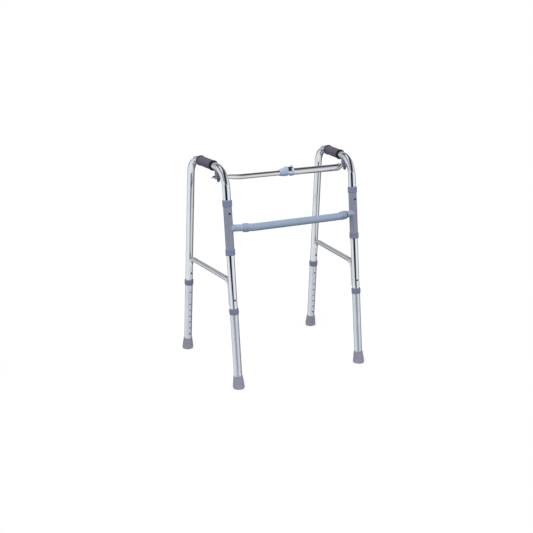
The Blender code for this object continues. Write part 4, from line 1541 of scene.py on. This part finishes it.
    def stop(self, side: SidePlan, word: str) -> None:
        """Turn the rubber stop on a flattened end.

        Args:
            side: The side that carries it.
            word: Which half of the bar it sits on.
        """
        radius = self.stop_d / 2
        out = self.block_d / 2 + self.stop_gap + radius
        high = self.lug_lift + self.lug_thick / 2 + GAPS.fit
        seat = side.pivot - side.inward * out + side.up * high
        profile = dome(radius, self.stop_height, -MM, self.stop_crown)
        profile += dome(radius, 0.0, MM, self.stop_foot)
        stop = Workpiece(side.word + "_stop_bumper")
        stop.turn(profile, frame_at(seat, side.inward, side.up), self.stop_sides)
        stop.done(STOP_RUBBER, word + "_bar", side.word + "_lug_stop")

    def catch(self) -> None:
        """Build the ear of the latch's fixed catch, with its fin and chin."""
        frame = self.middle
        start = self.ear_start - self.ear_lead
        wide = self.outer_bore + self.outer_wall + GAPS.fit
        reach = wide + self.ear_wall
        long = self.ear_length + self.ear_lead
        piece = Workpiece("latch_ear")
        piece.loft([Station(start + long * share, reach - slim, reach - slim, reach - slim)
                    for share, slim in self.ear_edge], frame)
        top = reach + self.ear_rise
        fin = Workpiece("fin")
        fin.loft([Station(start + self.fin_inset + self.fin_length * share, self.fin_half - slim,
                          0.0, top - 2.0 * slim, 0.0, self.fin_power)
                  for share, slim in self.ear_edge], frame, MIDDLE)
        piece.shape(fin, "UNION")
        front = start - self.chin_length
        deep = self.chin_length + self.chin_lap
        chin = Workpiece("chin")
        chin.loft([Station(front + deep * share, reach - slim, reach - slim, -self.chin_drop)
                   for share, slim in self.ear_edge[:3] + ((1.0, GAPS.fit),)], frame)
        piece.shape(chin, "UNION")
        seat = self.mouth - GAPS.fit
        piece.bore(wide, seat, start + self.fin_length + self.lock_lip, frame)
        piece.bore(self.nose, front - self.lock_lip, seat + self.mouth_inset, self.oval)
        piece.done(CATCH_PLASTIC, "outer_bar", "lock_catch")

    def nose_and_web(self) -> None:
        """Build the nose that the latch slides on and the web above it, near-black with painted
        shade.
        """
        bore = self.outer_bore
        nose = self.nose
        shoulder = self.shoulder
        seat = self.mouth - GAPS.fit
        end = self.lock_end
        step = end - self.shoulder_length
        start = self.lock_start + self.lock_lip + self.lock_travel + GAPS.fit
        tip = Workpiece("latch_nose")
        tip.turn([(bore, seat), (nose, seat), (nose, end),
                  *offset(shoulder, end, self.shoulder_edge), (shoulder, step), (nose, step),
                  *offset(nose, start, self.nose_edge), (bore, start)], self.oval)
        tip.done(CHROME_BAR, "outer_bar")

        # The web's near-black colour is painted shade for the shadowed gap between hood and ear.
        low = bore * self.press
        tall = (self.web_top - low) / 2
        raised = self.middle @ Matrix.Translation((0.0, (low + self.web_top) / 2, 0.0))
        shares = self.web_edge + ((self.web_length + self.mouth_inset, 1.0),)
        web = Workpiece("latch_web")
        web.loft([Station(self.web_start + along, self.web_half * share, tall, tall * share, 0.0,
                          self.web_power) for along, share in shares], raised, SMALL)
        past = self.ear_start - self.ear_lead + self.fin_length + self.lock_lip
        web.bore(nose, end, past, self.oval)
        web.done(WEB_SHADE_PLASTIC, "outer_bar")

    def slider(self) -> None:
        """Build the hooded release sleeve of the latch."""
        bore = self.outer_bore
        slide = self.nose + GAPS.fit
        small = bore + self.lock_wall
        pocket = self.shoulder + 2.0 * GAPS.fit
        big = pocket + self.lock_wall
        start = self.lock_start - self.hood_brim
        end = self.lock_end
        step = end - self.coil_pocket
        close = bore * self.press + self.lock_wall
        deep = pocket * self.press + self.lock_wall
        full = big + self.lock_rise
        run = end - start
        rows = [(start + along, small - slim, close - slim, close - slim)
                for along, slim in self.hood_lip]
        for count in range(self.hood_steps + 1):
            share = count / self.hood_steps
            along = start + self.hood_front + (run - self.hood_front - self.hood_back) * share
            grow = min(1.0, share * run / (step - start))
            ease = grow * (1.5 - 0.5 * grow)
            bulge = (1.0 + self.hood_bulge) * share - self.hood_bulge * share * share
            rows.append((along, small + (big - small) * ease, close + (deep - close) * ease,
                         close + (full - close) * bulge))
        rows += [(end - back, big - slim, deep - slim, full - slim) for back, slim in self.hood_end]
        piece = Workpiece("latch_slider")
        piece.loft([Station(*row, 0.0, self.hood_power) for row in rows], self.middle, FINE)
        lip = self.lock_start + self.lock_lip
        past = end + self.lock_lip
        ahead = start - self.lock_lip
        hollow = Workpiece("hollow")
        hollow.turn([(0.0, past), (pocket, past), (pocket, step), (slide, step), (slide, lip),
                     (bore, lip), (bore, ahead), (0.0, ahead)], self.oval)
        piece.shape(hollow)
        piece.done(LATCH_PLASTIC, "lock_sleeve", "lock_sleeve")

    def coil(self) -> None:
        """Wind the latch's return spring."""
        begin = self.lock_end - self.coil_pocket + self.lock_travel + GAPS.fit + self.coil_wire
        finish = self.lock_end - self.shoulder_length - GAPS.fit - self.coil_wire / 2
        steps = self.coil_turns * self.coil_steps
        work = bmesh.new()
        spot = Matrix.Translation((self.coil_radius, 0.0, begin))
        made = bmesh.ops.create_circle(work, cap_ends=True, segments=self.coil_sides,
                                       radius=self.coil_wire * self.coil_share,
                                       matrix=spot @ Matrix.Rotation(math.pi / 2, 4, "X"))
        wound = bmesh.ops.spin(work, geom=made["verts"] + ring_of(made["verts"]),
                               cent=(0.0, 0.0, 0.0), axis=(0.0, 0.0, 1.0),
                               dvec=(0.0, 0.0, (finish - begin) / steps),
                               angle=math.tau * self.coil_turns, steps=steps, use_merge=False,
                               use_duplicate=False)
        bmesh.ops.edgeloop_fill(work, edges=edges_in(wound["geom_last"]))
        bmesh.ops.transform(work, matrix=self.oval, verts=work.verts)
        Workpiece("latch_coil").take(work).done(DARK_STEEL, "outer_bar", "lock_spring")


class Way(Enum):
    """Measures of a direction, as the camera's place sees it."""

    ACROSS = "share to the right"
    AHEAD = "share away from the camera"
    HIGH = "share upward"
    TURN = "angle to the right"
    WIDE = "angle to either side"
    OVER = "angle over the top"
    SPAN = "share to either side"


Patch = tuple[tuple[Way, float, float], ...]


def band(way: Way, low: float, high: float, edge: float) -> Patch:
    """Keep a measure between two values, with a soft edge outside them."""
    return ((way, low - edge, low), (way, high + edge, high))


@dataclass(frozen=True)
class Panel:
    """A panel of the studio: its colour and the patches it covers, each a row of ramps."""

    colour: Colour
    patches: tuple[Patch, ...]


LEFT_WALL = Panel((0.78, 0.90, 0.95, 1.0), (
    band(Way.TURN, -1.60, -0.70, 0.25) + band(Way.HIGH, -0.06, 0.10, 0.10),))
RIGHT_WALL = Panel((0.82, 0.79, 0.78, 1.0), (
    band(Way.TURN, 0.90, 1.60, 0.25) + ((Way.HIGH, -0.20, -0.30),),))
UNDER = Panel((0.22, 0.225, 0.24, 1.0), (((Way.HIGH, -0.70, -0.88), (Way.AHEAD, 0.0, 0.15)),))
REAR = Panel((0.18, 0.195, 0.20, 1.0), (
    ((Way.TURN, 1.75, 2.10), (Way.HIGH, 0.0, -0.10)),
    ((Way.TURN, -2.05, -2.35), (Way.HIGH, 0.0, -0.10)),
    ((Way.TURN, 1.35, 1.75), (Way.HIGH, -0.16, -0.24))))
BACKDROP = Panel((0.46, 0.47, 0.50, 1.0), (band(Way.OVER, 2.48, 2.98, 0.10),))
ROOF = Panel((0.055, 0.052, 0.065, 1.0), (
    band(Way.OVER, 0.52, 2.30, 0.18) + ((Way.SPAN, 0.90, 0.55),),))
WINDOW = Panel(WHITE, (band(Way.OVER, 0.50, 2.0, 0.12) + band(Way.ACROSS, -0.38, 0.04, 0.08),))
LOW_FLAG = Panel((0.03, 0.03, 0.04, 1.0), (
    band(Way.TURN, 0.02, 0.38, 0.22) + ((Way.HIGH, -0.48, -0.30), (Way.HIGH, -0.18, -0.26)),))
FLAG = Panel((0.006, 0.008, 0.013, 1.0), (
    ((Way.WIDE, 0.50, 0.24), (Way.HIGH, -0.15, -0.10)),
    band(Way.TURN, -0.58, 0.34, 0.20) + band(Way.HIGH, -0.10, 0.20, 0.05)))


@dataclass
class Studio:
    """The pale floor, the light around the frame and the camera."""

    azimuth: float = math.radians(-27.5815)
    elevation: float = math.radians(18.0271)
    distance: float = 3.2133
    target: tuple[float, float, float] = (-0.0603, -0.0361, 0.3816)
    roll: float = 0.0120415
    focal_px: float = 856.26
    image_px: float = 533.0
    sensor_mm: float = 36.0
    floor_radius: float = 1.1
    floor_sides: int = 96
    floor_drop: float = 0.0006
    floor_clear: float = 0.45
    floor_fade: float = 0.94
    floor_glow: float = 0.55
    floor_bounce: Colour = (0.30, 0.29, 0.29, 1.0)
    floor_seen: Colour = (0.93, 0.93, 0.94, 1.0)
    light_span: tuple[float, float] = (-0.6, 0.9)
    light_below: Colour = (0.24, 0.22, 0.22, 1.0)
    light_above: Colour = (1.10, 1.12, 1.15, 1.0)
    walls: Colour = (0.97, 0.985, 1.0, 1.0)
    panels: tuple[Panel, ...] = (LEFT_WALL, RIGHT_WALL, UNDER, REAR, BACKDROP, ROOF, WINDOW,
                                 LOW_FLAG, FLAG)
    lamp_size: float = 1.8
    lamp_watts: float = 31.0
    lamp_place: tuple[float, float, float] = (-0.9, -1.1, 2.4)
    lamp_aim: tuple[float, float, float] = (0.0, 0.0, 0.4)

    def build(self) -> None:
        """Set up floor, world, lamp and camera."""
        bpy.context.scene.view_settings.view_transform = "Standard"
        self.floor()
        self.world()
        self.lamp()
        self.camera()

    def floor(self) -> None:
        """Lay the white floor, which fades into the background."""
        work = bmesh.new()
        bmesh.ops.create_circle(work, cap_ends=True, segments=self.floor_sides,
                                radius=self.floor_radius,
                                matrix=Matrix.Translation((0.0, 0.0, -self.floor_drop)))
        mesh = bpy.data.meshes.new("studio_floor")
        work.to_mesh(mesh)
        work.free()
        look = bpy.data.materials.new("studio_floor")
        look.use_nodes = True
        sheet = NodeSheet(look.node_tree)
        nodes = look.node_tree.nodes
        nodes.remove(nodes["Principled BSDF"])
        place = sheet.add("ShaderNodeTexCoord").outputs["Object"]
        reach = sheet.add("ShaderNodeVectorMath", {"operation": "LENGTH"}, Vector=place)
        far = sheet.spread(reach.outputs["Value"], self.floor_clear,
                           self.floor_radius * self.floor_fade, self.floor_glow, 1.0)
        rays = sheet.add("ShaderNodeLightPath").outputs["Is Camera Ray"]
        colour = sheet.tint(rays, self.floor_bounce, self.floor_seen)
        matt = sheet.add("ShaderNodeBsdfDiffuse", Color=colour)
        glow = sheet.add("ShaderNodeEmission", Color=WHITE, Strength=1.0)
        mix = sheet.blend(sheet.times(far, rays), matt.outputs[0], glow.outputs[0])
        sheet.fill(nodes["Material Output"].inputs[0], mix)
        mesh.materials.append(look)
        made = stand("studio_floor", mesh)
        made.visible_glossy = False

    def world(self) -> None:
        """Surround the frame with white, soft light and what polished metal shows of it."""
        world = bpy.data.worlds.new("studio")
        bpy.context.scene.world = world
        world.use_nodes = True
        world.node_tree.nodes.clear()
        sheet = NodeSheet(world.node_tree)
        place = sheet.add("ShaderNodeTexCoord").outputs["Generated"]
        turned = sheet.add("ShaderNodeVectorRotate", {"rotation_type": "Z_AXIS"}, Vector=place,
                           Angle=-self.azimuth)
        split = sheet.add("ShaderNodeSeparateXYZ", Vector=turned.outputs[0])
        across, ahead, high = (split.outputs[name] for name in "XYZ")
        soft = sheet.tint(sheet.ramp(high, *self.light_span), self.light_below, self.light_above)
        light, mirror, white = (
            sheet.add("ShaderNodeBackground", Color=colour, Strength=1.0).outputs[0]
            for colour in (soft, self.reflection(sheet, across, ahead, high), WHITE))
        path = sheet.add("ShaderNodeLightPath").outputs
        direct = sheet.most(path["Is Camera Ray"], path["Is Transmission Ray"])
        seen = sheet.blend(direct, sheet.blend(path["Is Glossy Ray"], light, mirror), white)
        sheet.row("ShaderNodeOutputWorld", {}, seen)

    def reflection(self, sheet: NodeSheet, across: Socket, ahead: Socket, high: Socket) -> Socket:
        """Paint the white studio with its panels, as polished metal reflects it.

        Args:
            sheet: The world's node tree.
            across: Share of a direction to the camera's right.
            ahead: Share of it away from the camera.
            high: Share of it upward.

        Returns:
            The colour of the studio in that direction.
        """
        near = sheet.times(ahead, -1.0)
        turn = sheet.work("ARCTAN2", across, near)
        ways = {Way.ACROSS: across, Way.AHEAD: ahead, Way.HIGH: high, Way.TURN: turn,
                Way.WIDE: sheet.work("ABSOLUTE", turn),
                Way.OVER: sheet.work("ARCTAN2", high, near),
                Way.SPAN: sheet.work("ABSOLUTE", across)}
        colour = self.walls
        for panel in self.panels:
            masks = [reduce(sheet.times, [sheet.ramp(ways[way], *ends) for way, *ends in patch])
                     for patch in panel.patches]
            colour = sheet.tint(reduce(sheet.most, masks), colour, panel.colour)
        return colour

    def lamp(self) -> None:
        """Hang a broad soft lamp above and a little ahead of the frame."""
        light = bpy.data.lights.new("soft_lamp", "AREA")
        light.size = self.lamp_size
        light.energy = self.lamp_watts
        place = Vector(self.lamp_place)
        aim = (Vector(self.lamp_aim) - place).to_track_quat("-Z", "Y")
        made = stand("soft_lamp", light)
        made.matrix_world = Matrix.Translation(place) @ aim.to_matrix().to_4x4()
        made.visible_glossy = False

    def camera(self) -> None:
        """Stand the camera where the photograph was taken from."""
        turn, tilt = self.azimuth, self.elevation
        back = Vector((math.sin(turn) * math.cos(tilt), -math.cos(turn) * math.cos(tilt),
                       math.sin(tilt)))
        right = Vector((math.cos(turn), math.sin(turn), 0.0))
        up = back.cross(right)
        x_axis = right * math.cos(self.roll) + up * math.sin(self.roll)
        y_axis = up * math.cos(self.roll) - right * math.sin(self.roll)
        turned = Matrix((x_axis, y_axis, back)).transposed().to_4x4()
        view = bpy.data.cameras.new("photo_camera")
        view.sensor_width = self.sensor_mm
        view.lens = self.focal_px / self.image_px * self.sensor_mm
        made = stand("photo_camera", view)
        made.matrix_world = Matrix.Translation(Vector(self.target) + back * self.distance) @ turned
        bpy.context.scene.camera = made


def dress_hidden(frame: dict) -> None:
    """Give the solids that stay as they are their finish.
    """
    for name, node in frame["nodes"].items():
        if name.endswith(("_button_spring", "_pivot_stud")):
            node.data.materials.clear()
            node.data.materials.append(ZINC_STEEL.material())
            LOG.info("%s stays as it is, in zinc plated steel", name)


def main() -> None:
    """Build the walking frame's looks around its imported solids."""
    logging.basicConfig(level=logging.INFO, format="%(name)s: %(message)s")
    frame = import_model()
    sides = [SidePlan(Handed.LEFT), SidePlan(Handed.RIGHT)]
    for side in sides:
        SideFrame(side).build()
        LegSlider(side.word + "_front", side.foot, side.up, side.back, SATIN_FRONT).build()
        LegSlider(side.word + "_rear", side.rear_foot, side.rear_up, -side.rear_back,
                  SATIN_REAR).build()
    FrontBar(sides).build()
    UpperBar(sides[0], sides[1]).build()
    dress_hidden(frame)
    Studio().build()


if __name__ == "__main__":
    main()
